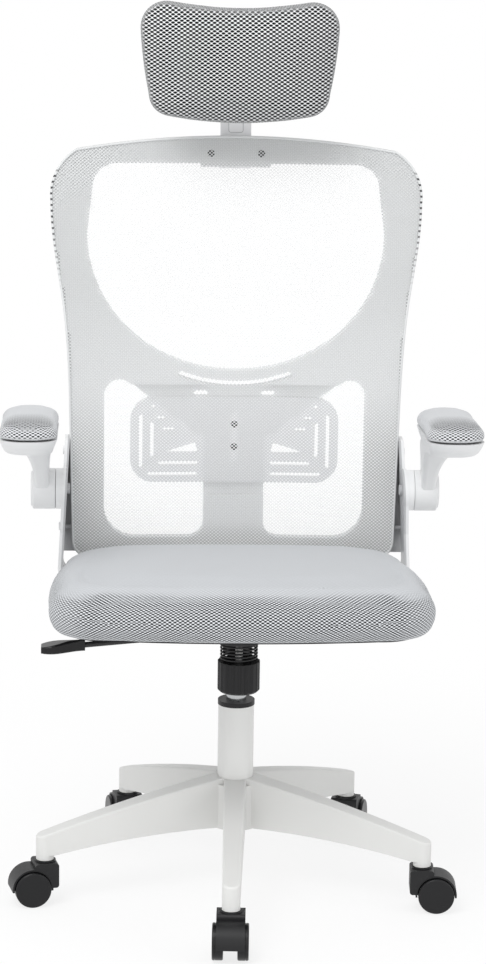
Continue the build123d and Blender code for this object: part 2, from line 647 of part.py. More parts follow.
def piston_rod():
    low = TUBE_BOTTOM - RUN - CLIP_WASHER_T - CLIP_T
    shoulder = TUBE_BOTTOM + TUBE_FLOOR + 2 * RACE_T + 2 * BALL_R + RUN
    rod = upright(ROD_R, low, PISTON_BOTTOM)
    rod += upright(ROD_COLLAR_R, shoulder, shoulder + ROD_COLLAR_T)
    return rod + upright(PISTON_R, PISTON_BOTTOM, PISTON_BOTTOM + PISTON_LENGTH)


def rod_clip():
    high = TUBE_BOTTOM - RUN
    low = high - CLIP_WASHER_T
    bore = upright(ROD_R + SNUG, low - CLIP_T, high)
    return [upright(CLIP_WASHER_R, low, high) - bore, upright(CLIP_R, low - CLIP_T, low) - bore]


def gas_cylinder():
    bore_r = CYLINDER_R - CYLINDER_WALL
    cylinder = upright(CYLINDER_R, CYLINDER_BOTTOM, CYLINDER_TOP)
    cylinder -= upright(bore_r, CYLINDER_BOTTOM, CYLINDER_TOP - CYLINDER_PLUG)
    return cylinder - upright(RELEASE_PIN_R + RUN, CYLINDER_BOTTOM, CYLINDER_TOP)


def rod_guide():
    guide = upright(CYLINDER_R - CYLINDER_WALL - SNUG, CYLINDER_BOTTOM, CYLINDER_BOTTOM + GUIDE_LENGTH)
    return guide - upright(ROD_R + RUN, CYLINDER_BOTTOM, CYLINDER_BOTTOM + GUIDE_LENGTH)


def release_pin():
    return upright(RELEASE_PIN_R, RELEASE_PIN_TOP - RELEASE_PIN_LENGTH, RELEASE_PIN_TOP)


# Tilt mechanism

def mech_housing():
    half = HOUSING_HALF_W
    housing = block(-half, half, HOUSING_FRONT, HOUSING_REAR, HOUSING_SHALLOW_Z, HOUSING_RIM_Z)
    housing += block(-half, half, HOUSING_STEP, HOUSING_REAR, HOUSING_DEEP_Z, HOUSING_RIM_Z)
    inner = half - STEEL
    housing -= block(-inner, inner, HOUSING_FRONT + STEEL, HOUSING_REAR - STEEL,
                     HOUSING_SHALLOW_Z + STEEL, HOUSING_RIM_Z)
    housing -= block(-inner, inner, HOUSING_STEP + STEEL, HOUSING_REAR - STEEL,
                     HOUSING_DEEP_Z + STEEL, HOUSING_RIM_Z)
    for side in both_sides(crossbar(EAR_R, inner, half, 0, PIVOT_Z)):
        housing += side
    for side in both_sides(block(inner, half, -EAR_R, EAR_R, HOUSING_RIM_Z - EAR_R, PIVOT_Z)):
        housing += side
    cup_low = HOUSING_SHALLOW_Z - CUP_DEEP
    housing += upright(CUP_R, cup_low, HOUSING_SHALLOW_Z, 0, KNOB_Y)
    housing -= upright(CUP_R - CUP_WALL, cup_low, HOUSING_SHALLOW_Z, 0, KNOB_Y)
    housing -= upright(BOLT_HOLE_R, cup_low, HOUSING_RIM_Z, 0, KNOB_Y)
    housing -= upright(SOCKET_R + SNUG, HOUSING_DEEP_Z, HOUSING_RIM_Z)
    housing -= crossbar(SHAFT_R + SNUG, -half, half, 0, PIVOT_Z)
    housing -= block(-half, -inner, -WINDOW_HALF_Y, WINDOW_HALF_Y, WINDOW_BOTTOM, HOUSING_RIM_Z - STEEL / 2)
    lug_in = TONGUE_HALF_Y + LUG_GAP
    for near, far in ((-lug_in - LUG_T, -lug_in), (lug_in, lug_in + LUG_T)):
        lug = block(LEVER_PIVOT_X - LUG_HALF_X, LEVER_PIVOT_X + LUG_HALF_X, near, far,
                    HOUSING_DEEP_Z + STEEL, LEVER_Z + LUG_ABOVE_PIN)
        housing += lug - lengthwise(LEVER_PIN_R + RUN, near, far, LEVER_PIVOT_X, LEVER_Z)
    return housing


def taper_socket():
    socket = upright(SOCKET_R, SOCKET_BOTTOM, CYLINDER_TOP)
    return socket - upright(CYLINDER_R + SNUG, SOCKET_BOTTOM, CYLINDER_TOP)


def tilt_shaft():
    ear_out = HOUSING_HALF_W + AIR + STEEL
    shaft = crossbar(SHAFT_R, -ear_out - AIR, ear_out + AIR, 0, PIVOT_Z)
    for head in both_sides(crossbar(SHAFT_HEAD_R, ear_out + AIR, ear_out + AIR + SHAFT_HEAD_T, 0, PIVOT_Z)):
        shaft += head
    return shaft


def seat_plate():
    plate = block(-PLATE_HALF_W, PLATE_HALF_W, PLATE_FRONT, PLATE_REAR, PLATE_BOTTOM, PLATE_TOP)
    inner = HOUSING_HALF_W + AIR
    for ear in both_sides(crossbar(EAR_R, inner, inner + STEEL, 0, PIVOT_Z)):
        plate += ear
    for ear in both_sides(block(inner, inner + STEEL, -EAR_R, EAR_R, PIVOT_Z, PLATE_BOTTOM)):
        plate += ear
    plate -= crossbar(SHAFT_R + RUN, -FAR, FAR, 0, PIVOT_Z)
    front = KNOB_Y - YOKE_HALF_Y
    rear = KNOB_Y + YOKE_HALF_Y
    for leg in both_sides(block(YOKE_HALF_W - STEEL, YOKE_HALF_W, front, rear, YOKE_BOTTOM, PLATE_BOTTOM)):
        plate += leg
    plate += block(-YOKE_HALF_W, YOKE_HALF_W, front, rear, YOKE_BOTTOM, YOKE_BOTTOM + STEEL)
    plate -= block(-YOKE_SLOT_HALF_X, YOKE_SLOT_HALF_X, KNOB_Y - YOKE_SLOT_HALF_Y, KNOB_Y + YOKE_SLOT_HALF_Y,
                   YOKE_BOTTOM, YOKE_BOTTOM + STEEL)
    for x, y in seat_bolt_places():
        plate -= upright(SEAT_BOLT_R + SNUG, PLATE_BOTTOM, PLATE_TOP, x, y)
    return plate


def tension_bolt():
    barrel_z = YOKE_BOTTOM + STEEL + AIR + BARREL_R
    bolt = upright(BOLT_R, KNOB_BOTTOM + KNOB_FLOOR + AIR, barrel_z, 0, KNOB_Y)
    return bolt + crossbar(BARREL_R, -BARREL_HALF, BARREL_HALF, KNOB_Y, barrel_z)


def tension_knob():
    knob = upright(KNOB_R, KNOB_BOTTOM, KNOB_TOP)
    knob = chamfer(knob.edges().group_by(Axis.Z)[0], KNOB_CHAMFER)
    flute_at = KNOB_R + KNOB_FLUTE_R - KNOB_FLUTE_DEEP
    flutes = [upright(KNOB_FLUTE_R, KNOB_BOTTOM, KNOB_TOP).moved(
        Rot(0, 0, index * 360.0 / KNOB_FLUTES) * Pos(flute_at, 0, 0)) for index in range(KNOB_FLUTES)]
    knob -= flutes
    knob -= upright(BOLT_R + RUN, KNOB_BOTTOM + KNOB_FLOOR, KNOB_TOP)
    return Pos(0, KNOB_Y, 0) * knob


def spring_point(turn):
    """Middle of the wire and its direction after so many turns."""
    rise = (SPRING_SEAT_HIGH - SPRING_SEAT_LOW) / SPRING_TURNS
    angle = 2 * math.pi * turn
    place = Vector(SPRING_R * math.cos(angle), KNOB_Y + SPRING_R * math.sin(angle),
                   SPRING_SEAT_LOW + rise * turn)
    along = Vector(-SPRING_R * math.sin(angle), SPRING_R * math.cos(angle), rise / (2 * math.pi))
    return place, along.normalized()


def biarc(start, start_dir, end, end_dir):
    """Two tangent arcs from one place and direction to another."""
    chord = end - start
    total = start_dir + end_dir
    a = 4.0 - total.dot(total)
    b = 2.0 * chord.dot(total)
    c = -chord.dot(chord)
    reach = (-b + math.sqrt(b * b - 4.0 * a * c)) / (2.0 * a)
    middle = (start + start_dir * reach + end - end_dir * reach) * 0.5
    first = TangentArc(start, middle, tangent=start_dir)
    second = TangentArc(middle, end, tangent=first % 1.0)
    return [first, second]


def tension_spring():
    arcs = []
    for step in range(SPRING_TURNS * SPRING_ARCS):
        start, start_dir = spring_point(step / SPRING_ARCS)
        end, end_dir = spring_point((step + 1) / SPRING_ARCS)
        arcs += biarc(start, start_dir, end, end_dir)
    place, along = spring_point(0)
    wire = Plane(origin=place, z_dir=along) * Circle(SPRING_WIRE_R)
    return sweep(wire, path=Wire([arc.edge() for arc in arcs]))


def spring_gap():
    """Least gap between neighbouring turns, measured on points of the wire."""
    per_turn = 36
    points = [spring_point(step / per_turn)[0] for step in range(SPRING_TURNS * per_turn + 1)]
    least = min((points[i] - points[j]).length for i in range(len(points))
                for j in range(i + per_turn // 2, len(points)))
    return least - 2 * SPRING_WIRE_R


# Height lever

def lift_lever():
    route = FilletPolyline((LEVER_INNER_X, 0, LEVER_Z), (LEVER_ELBOW_X, 0, LEVER_Z),
                           (LEVER_KNEE_X, 0, LEVER_KNEE_Z), (LEVER_END_X, 0, LEVER_END_Z), radius=LEVER_BEND)
    lever = sweep(Plane(origin=route @ 0, z_dir=route % 0) * Circle(LEVER_R), path=route)
    pin_half = TONGUE_HALF_Y + LUG_GAP + LUG_T
    lever += lengthwise(LEVER_PIN_R, -pin_half, pin_half, LEVER_PIVOT_X, LEVER_Z)
    tongue_low = RELEASE_PIN_TOP + TONGUE_GAP
    lever += block(LEVER_PIVOT_X - LEVER_R, TONGUE_PAST_PIN, -TONGUE_HALF_Y, TONGUE_HALF_Y,
                   tongue_low, tongue_low + TONGUE_T)
    return lever


def lever_line(x):
    """Height of the lever's outer run at a place along X."""
    slope = (LEVER_KNEE_Z - LEVER_END_Z) / (LEVER_KNEE_X - LEVER_END_X)
    return LEVER_END_Z + slope * (x - LEVER_END_X)


def lever_grip():
    sections = []
    for share, wide_share, high_share in GRIP_SECTIONS:
        x = GRIP_START_X + share * (GRIP_TIP_X - GRIP_START_X)
        wide = GRIP_W * wide_share
        high = GRIP_H * high_share
        sections.append(Plane(origin=(x, 0, lever_line(x)), x_dir=(0, 1, 0), z_dir=(-1, 0, 0))
                        * RectangleRounded(wide, high, GRIP_CORNER * min(wide, high)))
    grip = loft(sections)
    along = Vector(LEVER_END_X - LEVER_KNEE_X, 0, LEVER_END_Z - LEVER_KNEE_Z)
    run = Plane(origin=(LEVER_KNEE_X, 0, LEVER_KNEE_Z), z_dir=along)
    return grip - extrude(run * Circle(LEVER_R + SNUG), along.length + AIR)


# Seat

def seat_bolt_places():
    return [(x, y) for x in (-SEAT_BOLT_X, SEAT_BOLT_X) for y in (SEAT_BOLT_FRONT, SEAT_BOLT_REAR)]


def foot_bolt_places():
    return [(x, FOOT_BOLT_Y) for x in (-FOOT_BOLT_OUT, -FOOT_BOLT_IN, FOOT_BOLT_IN, FOOT_BOLT_OUT)]


def seat_outline(inset):
    """Plan of the seat, drawn in from its full size."""
    wide = SEAT_HALF_W
    rear_wide = BRACKET_LOW_X - SEAT_REAR_NARROW
    front_line = SEAT_FRONT + SEAT_FRONT_BOW
    rear_line = SEAT_REAR - SEAT_REAR_BOW
    half = [(wide - SEAT_FRONT_CORNER, front_line),
            (wide - FRONT_CORNER_X * SEAT_FRONT_CORNER, front_line + FRONT_CORNER_Y * SEAT_FRONT_CORNER),
            (wide - SEAT_SIDE_DRAW, front_line + SEAT_FRONT_CORNER),
            (wide, SEAT_WIDE_Y),
            (rear_wide, rear_line - SEAT_REAR_CORNER),
            (rear_wide - REAR_CORNER_X * SEAT_REAR_CORNER, rear_line - REAR_CORNER_Y * SEAT_REAR_CORNER),
            (rear_wide - SEAT_REAR_CORNER, rear_line)]
    middle = (SEAT_FRONT + SEAT_REAR) / 2
    long = SEAT_REAR - SEAT_FRONT
    across = (wide - inset) / wide
    along = (long - 2 * inset) / long
    points = mirrored_loop(half, SEAT_REAR, SEAT_FRONT)
    return arc_loop([(x * across, middle + (y - middle) * along) for x, y in points])


def seat_cushion():
    sections = []
    for share, draw in CUSHION_LEVELS:
        height = CUSHION_BOTTOM + share * CUSHION_H
        tilt = -CUSHION_SLOPE * min(1.0, share * CUSHION_LEAN_IN)
        sections.append(Pos(0, 0, height) * Rot(tilt, 0, 0) * seat_outline(draw * CUSHION_DRAW))
    cushion = loft(sections)
    pocket = extrude(Pos(0, 0, PLATE_TOP) * seat_outline(BOARD_INSET - AIR), BOARD_T + AIR)
    return cushion - pocket


def seat_board():
    board = extrude(Pos(0, 0, PLATE_TOP) * seat_outline(BOARD_INSET), BOARD_T)
    for x, y in seat_bolt_places() + foot_bolt_places():
        board -= upright(SEAT_BOLT_R + SNUG, PLATE_TOP, PLATE_TOP + SEAT_BOLT_LENGTH - STEEL + AIR, x, y)
    return board


def upward_bolt(x, y, seat):
    """Bolt whose head lies under a face at the given height."""
    head = upright(SEAT_BOLT_HEAD_R, seat - SEAT_BOLT_HEAD_T, seat, x, y)
    return head + upright(SEAT_BOLT_R, seat, PLATE_TOP + SEAT_BOLT_LENGTH - STEEL, x, y)


# Back

def back_section(front, thickness):
    """Band across the back, hollow towards the front."""
    half = BACK_WIDE_X + BACK_T
    edges = []
    corners = []
    for depth in (front, front + thickness):
        radius = BACK_CURVE_R + depth
        middle = BACK_Y + depth
        side = middle - radius + math.sqrt(radius * radius - half * half)
        edges.append(ThreePointArc((-half, side), (0, middle), (half, side)))
        corners.append(side)
    edges.append(Line((-half, corners[0]), (-half, corners[1])))
    edges.append(Line((half, corners[0]), (half, corners[1])))
    return Pos(0, 0, BACK_BOTTOM) * make_face(edges)


def back_slab(front, thickness):
    """Curved slab of the whole back between two depths: upright, bent and leaning."""
    section = back_section(front, thickness)
    rise = BACK_BEND_Z - BACK_BOTTOM
    bend_axis = Axis((0, BACK_Y + BACK_BEND_R, BACK_BEND_Z), (-1, 0, 0))
    bend_foot = Pos(0, 0, rise) * section
    bend_head = bend_foot.rotate(bend_axis, BACK_LEAN)
    slab = extrude(section, rise, dir=(0, 0, 1))
    slab += revolve(bend_foot, axis=bend_axis, revolution_arc=BACK_LEAN)
    return slab + extrude(bend_head, BACK_TOP_MID - BACK_BEND_Z, dir=(0, math.sin(LEAN), math.cos(LEAN)))


def back_front_y(z):
    """Front of the back at its middle, on the leaning part."""
    bend_top = BACK_BEND_Z + BACK_BEND_R * math.sin(LEAN)
    return BACK_Y + BACK_BEND_R * (1 - math.cos(LEAN)) + (z - bend_top) * math.tan(LEAN)


def through(outline):
    """A flat outline in front view, as a cut or a core through the back."""
    return extrude(Plane.XZ * outline, FAR, dir=(0, 1, 0))


def back_outline():
    foot = Line((-BACK_FOOT_X, BACK_BOTTOM), (BACK_FOOT_X, BACK_BOTTOM))
    sides = []
    for side in (1, -1):
        sides.append(Line((side * BACK_FOOT_X, BACK_BOTTOM), (side * BACK_WAIST_X, BACK_WAIST_Z)))
        lean_out = (side * (BACK_WAIST_X - BACK_FOOT_X), BACK_WAIST_Z - BACK_BOTTOM)
        sides.append(Spline((side * BACK_WAIST_X, BACK_WAIST_Z), (side * BACK_FLARE_X, BACK_FLARE_Z),
                            (side * BACK_WIDE_X, BACK_WIDE_Z), tangents=(lean_out, (0, 1))))
        bulge_x = BACK_CORNER_X + BACK_BULGE_X * (BACK_WIDE_X - BACK_CORNER_X)
        bulge_z = BACK_WIDE_Z + BACK_BULGE_Z * (BACK_CORNER_Z - BACK_WIDE_Z)
        sides.append(ThreePointArc((side * BACK_WIDE_X, BACK_WIDE_Z), (side * bulge_x, bulge_z),
                                   (side * BACK_CORNER_X, BACK_CORNER_Z)))
    top = ThreePointArc((BACK_CORNER_X, BACK_CORNER_Z), (0, BACK_TOP_MID), (-BACK_CORNER_X, BACK_CORNER_Z))
    face = make_face([foot, top] + sides)
    return fillet(face.vertices().group_by(Axis.Y)[0], BACK_FOOT_ROUND)


def upper_opening():
    bowl = Pos(0, UPPER_WIDE_Z) * Ellipse(UPPER_HALF_W, UPPER_WIDE_Z - UPPER_BOTTOM)
    bowl -= panel(-FAR, FAR, UPPER_WIDE_Z, UPPER_WIDE_Z + FAR)
    crown = make_face(Polyline((-UPPER_HALF_W, UPPER_WIDE_Z), (UPPER_HALF_W, UPPER_WIDE_Z),
                               (UPPER_TOP_HALF_W, UPPER_TOP), (-UPPER_TOP_HALF_W, UPPER_TOP), close=True))
    crown = fillet(crown.vertices().group_by(Axis.Y)[-1], UPPER_ROUND)
    return bowl + crown


def lower_opening(side):
    points = [(side * SPINE_HALF, LOWER_BOTTOM), (side * LOWER_OUT_X, LOWER_BOTTOM),
              (side * LOWER_OUT_X, LOWER_TOP_OUT), (side * SPINE_HALF, LOWER_TOP_IN)]
    opening = make_face(Polyline(*points, close=True))
    opening = fillet(opening.vertices().sort_by_distance(points[1])[1:], LOWER_ROUND)
    return fillet(opening.vertices().sort_by_distance(points[1])[0], LOWER_FOOT_ROUND)


def rail_slots():
    """Curved slot and two dashes in the rail between the openings."""
    middle = (0, ARC_SLOT_Z + ARC_SLOT_R)
    arc = CenterArc(middle, ARC_SLOT_R, 270 - ARC_SLOT_HALF, 2 * ARC_SLOT_HALF)
    slots = SlotArc(arc, ARC_SLOT_W)
    for side in (1, -1):
        slots += Pos(side * DASH_X, DASH_Z) * SlotOverall(DASH_W, DASH_H)
    return slots


def back_frame():
    outline = back_outline() - upper_opening() - lower_opening(1) - lower_opening(-1) - rail_slots()
    frame = back_slab(0, BACK_T) & through(outline)
    room = LUMBAR_TRAVEL + LUMBAR_CLEAR
    recess_half = LUMBAR_HALF_W + LUMBAR_CLEAR
    recess = panel(-recess_half, recess_half, LUMBAR_BOTTOM - room, LUMBAR_TOP + room)
    frame -= through(recess) & back_slab(-BACK_T, BACK_T + LUMBAR_RECESS)
    slot_low = LUMBAR_SCREW_LOW - LUMBAR_TRAVEL - LUMBAR_SCREW_R - AIR
    slot_high = LUMBAR_SCREW_HIGH + LUMBAR_TRAVEL + LUMBAR_SCREW_R + AIR
    frame -= through(panel(-LUMBAR_SCREW_R - AIR, LUMBAR_SCREW_R + AIR, slot_low, slot_high))
    for bolt in side_bolts(SIDE_BOLT_R + SNUG, SIDE_HEAD_R):
        frame -= bolt
    for x in (-BRACKET_SCREW_X, BRACKET_SCREW_X):
        frame -= head_screw(x, HEAD_SCREW_R + SNUG, HEAD_SCREW_HEAD_R + AIR, BACK_T)
    return frame


def back_mesh():
    return back_slab(-AIR - MESH_T, MESH_T) & through(back_outline())


# Lumbar support

def lumbar_slots(side):
    """Slots, dashes and a window on one side of the pad."""
    window_low = LUMBAR_BOTTOM + LUMBAR_SLOT_RISE + 2 * LUMBAR_SLOT_STEP
    window_in = side * LUMBAR_SLOT_MID
    window = ((side * (LUMBAR_HALF_W - LUMBAR_SLOT_INSET - 2 * LUMBAR_SLOT_STEP), window_low),
              (window_in, window_low), (window_in + side * LUMBAR_WINDOW_LEAN, window_low + LUMBAR_WINDOW_H))
    cuts = make_face(FilletPolyline(*window, radius=LUMBAR_WINDOW_ROUND, close=True))
    for step in range(2):
        out = LUMBAR_HALF_W - LUMBAR_SLOT_INSET - step * LUMBAR_SLOT_STEP
        low = LUMBAR_BOTTOM + LUMBAR_SLOT_RISE + step * LUMBAR_SLOT_STEP
        foot = low + LUMBAR_SLOT_CORNER
        high = LUMBAR_TOP - LUMBAR_SLOT_TOP - step * LUMBAR_SLOT_RISE
        start = out - LUMBAR_SLOT_CORNER
        middle = side * (start + LUMBAR_SLOT_MID) / 2
        cuts += Pos(side * out, (foot + high) / 2) * SlotOverall(high - foot, LUMBAR_SLOT_W, rotation=90)
        cuts += Pos(middle, low) * SlotOverall(start - LUMBAR_SLOT_MID, LUMBAR_SLOT_W)
    for step in range(LUMBAR_DASHES):
        x = side * (LUMBAR_HALF_W - LUMBAR_DASH_INSET - step * LUMBAR_DASH_STEP_X)
        z = LUMBAR_TOP - LUMBAR_DASH_BELOW - step * LUMBAR_DASH_STEP_Z
        cuts += Pos(x, z) * SlotOverall(LUMBAR_DASH_W + step * LUMBAR_DASH_GROW, LUMBAR_DASH_H)
    return cuts


def lumbar_pad():
    wide = 2 * LUMBAR_HALF_W
    high = LUMBAR_TOP - LUMBAR_BOTTOM
    outline = Pos(0, (LUMBAR_TOP + LUMBAR_BOTTOM) / 2) * RectangleRounded(wide, high, LUMBAR_ROUND)
    outline -= lumbar_slots(1)
    outline -= lumbar_slots(-1)
    pad = back_slab(LUMBAR_SET_BACK, LUMBAR_T) & through(outline)
    head_at = BACK_Y + LUMBAR_SET_BACK
    for z in (LUMBAR_SCREW_LOW, LUMBAR_SCREW_HIGH):
        pad -= lengthwise(LUMBAR_SCREW_R + SNUG, head_at - BACK_T, head_at + BACK_T, 0, z)
        pad -= lengthwise(LUMBAR_HEAD_R + SNUG, head_at - BACK_T, head_at + LUMBAR_HEAD_T, 0, z)
    return pad


def lumbar_screws():
    head_at = BACK_Y + LUMBAR_SET_BACK
    nut_at = BACK_Y + BACK_T + AIR
    screws = []
    for z in (LUMBAR_SCREW_LOW, LUMBAR_SCREW_HIGH):
        screw = lengthwise(LUMBAR_HEAD_R, head_at, head_at + LUMBAR_HEAD_T, 0, z)
        screw += lengthwise(LUMBAR_SCREW_R, head_at, nut_at + LUMBAR_NUT_T, 0, z)
        screws.append(screw + lengthwise(LUMBAR_NUT_R, nut_at, nut_at + LUMBAR_NUT_T, 0, z))
    return screws


# Headrest, in the plane of the leaning back: X across, Y to the rear, Z up along the lean

def leaning(piece):
    upward = (0, math.sin(LEAN), math.cos(LEAN))
    return Plane(origin=(0, back_front_y(BRACKET_Z), BRACKET_Z), x_dir=(1, 0, 0), z_dir=upward) * piece


def stem_front():
    """Depth of the stem's front face behind the front of the frame."""
    return BACK_T + AIR + STEM_WALL + STEM_SLIDE


def head_screw(x, radius, head_radius, head_room):
    sink = HEAD_SCREW_HEAD_T
    screw = lengthwise(head_radius, sink - head_room, sink, x, 0)
    return leaning(screw + lengthwise(radius, sink, HEAD_SCREW_LENGTH, x, 0))


def headrest_bracket():
    front = BACK_T + AIR
    body = block(-BRACKET_HALF_W, BRACKET_HALF_W, front, front + BRACKET_T, -BRACKET_DOWN, BRACKET_UP)
    slot_half = STEM_W / 2 + STEM_SLIDE
    face = stem_front()
    body -= block(-slot_half, slot_half, face - STEM_SLIDE, face + STEM_T + STEM_SLIDE, -FAR, FAR)
    rib_half = STEM_RIB_W / 2 + AIR
    body -= block(-rib_half, rib_half, face - STEM_RIB_T - AIR, face, -FAR, FAR)
    body = leaning(body)
    for x in (-BRACKET_SCREW_X, BRACKET_SCREW_X):
        body -= head_screw(x, HEAD_SCREW_R + SNUG, HEAD_SCREW_R + SNUG, HEAD_SCREW_HEAD_T)
    return body


def stem_route():
    """Middle line of the stem, from its foot to the knuckle, in its own plane."""
    depth = stem_front() + STEM_T / 2
    bend = math.radians(STEM_BEND)
    half = bend / 2
    foot = (depth, -STEM_DOWN)
    neck = (depth, STEM_UP)
    crook = (depth - STEM_BEND_R * (1 - math.cos(half)), STEM_UP + STEM_BEND_R * math.sin(half))
    turn = (depth - STEM_BEND_R * (1 - math.cos(bend)), STEM_UP + STEM_BEND_R * math.sin(bend))
    last = (turn[0] - STEM_LAST * math.sin(bend), turn[1] + STEM_LAST * math.cos(bend))
    return foot, neck, crook, turn, last


def headrest_stem():
    foot, neck, crook, turn, last = stem_route()
    route = Line(foot, neck) + ThreePointArc(neck, crook, turn) + Line(turn, last)
    stem = extrude(Plane.YZ * trace(route, STEM_T), STEM_W / 2, both=True)
    stem += crossbar(KNUCKLE_R, -KNUCKLE_HALF, KNUCKLE_HALF, last[0], last[1])
    for side in both_sides(block(KNUCKLE_HALF, STEM_W, last[0] - 2 * KNUCKLE_R, last[0] + KNUCKLE_R + AIR,
                                 last[1] - KNUCKLE_R - HEAD_LUG_T, last[1] + 2 * KNUCKLE_R)):
        stem -= side
    rib_half = STEM_RIB_W / 2
    stem += block(-rib_half, rib_half, stem_front() - STEM_RIB_T, stem_front(), STEM_RIB_FROM, STEM_UP)
    stem -= crossbar(HEAD_PIN_R + SNUG, -STEM_W, STEM_W, last[0], last[1])
    return leaning(stem)


def knuckle_place():
    """Headrest pivot in the chair's frame, as Y and Z."""
    last = stem_route()[-1]
    point = leaning(Pos(0, last[0], last[1]) * Sphere(1.0)).center()
    return point.Y, point.Z


def headrest_pin():
    y, z = knuckle_place()
    half = KNUCKLE_HALF + HEAD_LUG_GAP + HEAD_LUG_T
    return crossbar(HEAD_PIN_R, -half, half, y, z)


def headrest_outline(share):
    """Front view of the headrest, drawn in about its middle."""
    low_mid = (HEADREST_LOW_X + HEADREST_HALF_W) / 2 + HEADREST_SIDE_BOW
    half = [(HEADREST_LOBE_X, HEADREST_LOBE_UP),
            (HEADREST_LOBE_X + HEADREST_LOBE_FULL * (HEADREST_HALF_W - HEADREST_LOBE_X),
             HEADREST_LOBE_UP - HEADREST_LOBE_DROP),
            (HEADREST_HALF_W, HEADREST_WIDE_UP),
            (low_mid, 0.0),
            (HEADREST_LOW_X, -HEADREST_LOW_DOWN),
            (HEADREST_LOW_X - HEADREST_FOOT_IN, -HEADREST_FOOT_DOWN + HEADREST_FOOT_LIFT),
            (HEADREST_FOOT_X, -HEADREST_FOOT_DOWN)]
    points = mirrored_loop(half, -HEADREST_BOTTOM_DOWN, HEADREST_DIP_UP)
    return arc_loop([(x * share, z * share) for x, z in points])


def headrest_plane(depth):
    """Upright plane across the headrest, so far behind the rear of its pad."""
    y, z = knuckle_place()
    return Plane(origin=(0, y - HEADREST_AHEAD + depth, z + HEADREST_UP), x_dir=(1, 0, 0), z_dir=(0, -1, 0))


def headrest_cushion():
    return loft([headrest_plane(-share * HEADREST_DEEP) * headrest_outline(outline)
                 for share, outline in HEADREST_LEVELS])


def headrest_shell():
    shell = extrude(headrest_plane(AIR) * headrest_outline(SHELL_SHARE), SHELL_T, dir=(0, 1, 0))
    y, z = knuckle_place()
    lug_in = KNUCKLE_HALF + HEAD_LUG_GAP
    lug_out = lug_in + HEAD_LUG_T
    lug_front = y - HEADREST_AHEAD + AIR + SHELL_T
    for side in both_sides(block(lug_in, lug_out, lug_front, y, z - KNUCKLE_R, z + KNUCKLE_R)
                           + crossbar(KNUCKLE_R, lug_in, lug_out, y, z)):
        shell += side
    return shell - crossbar(HEAD_PIN_R + RUN, -lug_out, lug_out, y, z)


# Side brackets and arms

def bracket_line(z):
    """Outer face of a side bracket at a height."""
    slope = (BRACKET_TOP_X - BRACKET_LOW_X) / (BRACKET_TOP_Z - BACK_BOTTOM)
    return BRACKET_LOW_X + slope * (z - BACK_BOTTOM)


def side_bolts(radius, head_radius):
    """Bolts through both brackets into the sides of the back frame."""
    bolts = []
    for z in (SIDE_BOLT_LOW, SIDE_BOLT_HIGH):
        seat = bracket_line(z) - SIDE_HEAD_T / 2
        bolt = crossbar(radius, BACK_FOOT_X - SIDE_BOLT_DEEP, seat, SIDE_BOLT_Y, z)
        bolts += both_sides(bolt + crossbar(head_radius, seat, seat + SIDE_HEAD_T, SIDE_BOLT_Y, z))
    return bolts


def bracket_flange():
    """Plate behind the edge of the back, joined to the rear of a bracket."""
    low = BACK_BOTTOM + BRACKET_FLANGE_SHORT
    high = BRACKET_TOP_Z - BRACKET_FLANGE_SHORT
    inner = BRACKET_STEEL / 2
    outline = make_face(Polyline((FLANGE_LAP_X, low), (bracket_line(low) - inner, low),
                                 (bracket_line(high) - inner, high), (FLANGE_LAP_X, high), close=True))
    plate = extrude(Plane.XZ * outline, BRACKET_FLANGE_T, dir=(0, 1, 0))
    return Pos(0, FLANGE_FRONT, 0) * plate


def side_bracket():
    foot_line = PLATE_TOP - BRACKET_STEEL / 2
    inner = BRACKET_STEEL / 2
    route = FilletPolyline((BRACKET_FOOT_X, foot_line), (bracket_line(foot_line) - inner, foot_line),
                           (BRACKET_TOP_X - inner, BRACKET_TOP_Z), radius=BRACKET_BEND)
    bent = extrude(Plane.XZ * trace(route, BRACKET_STEEL), FAR, dir=(0, 1, 0))
    rim_r = BOSS_R + BRACKET_RIM
    side = panel(BRACKET_FRONT, BRACKET_FOOT_REAR, 0, ARM_Z - rim_r)
    side += make_face(Polyline((BRACKET_FRONT, ARM_Z - BRACKET_FLARE_HIGH),
                               (BRACKET_FOOT_REAR, ARM_Z - BRACKET_FLARE_LOW),
                               (BRACKET_REAR, ARM_Z - BRACKET_FLARE_HIGH), (BRACKET_REAR, BRACKET_TOP_Z),
                               (BRACKET_TOP_FRONT, BRACKET_TOP_Z),
                               (ARM_Y + BRACKET_SHOULDER_Y, ARM_Z + BRACKET_SHOULDER_Z),
                               (ARM_Y, ARM_Z), (ARM_Y - rim_r, ARM_Z), close=True))
    side += Pos(ARM_Y, ARM_Z) * Circle(rim_r)
    bracket = bent & extrude(Plane.YZ * side, FAR)
    bracket += bracket_flange()
    bracket += crossbar(BOSS_R, bracket_line(ARM_Z) - inner, BOSS_IN, ARM_Y, ARM_Z)
    bracket -= crossbar(ARM_PIN_R + RUN, 0, FAR, ARM_Y, ARM_Z)
    head_seat = bracket_line(ARM_Z) - BRACKET_STEEL
    bracket -= crossbar(ARM_PIN_HEAD_R + AIR, 0, head_seat + SINK, ARM_Y, ARM_Z)
    for x, y in foot_bolt_places():
        bracket -= upright(SEAT_BOLT_R + SNUG, FOOT_BOTTOM, PLATE_TOP, x, y)
    for bolt in side_bolts(SIDE_BOLT_R + SNUG, SIDE_HEAD_R + AIR):
        bracket -= bolt
    return bracket


def arm_section(out, ahead, up, wide, long, corner):
    """Level section of the arm, placed from its pivot and joint."""
    return Pos(BOSS_IN + out, ARM_Y - ahead, ARM_Z + up) * RectangleRounded(wide, long, corner)


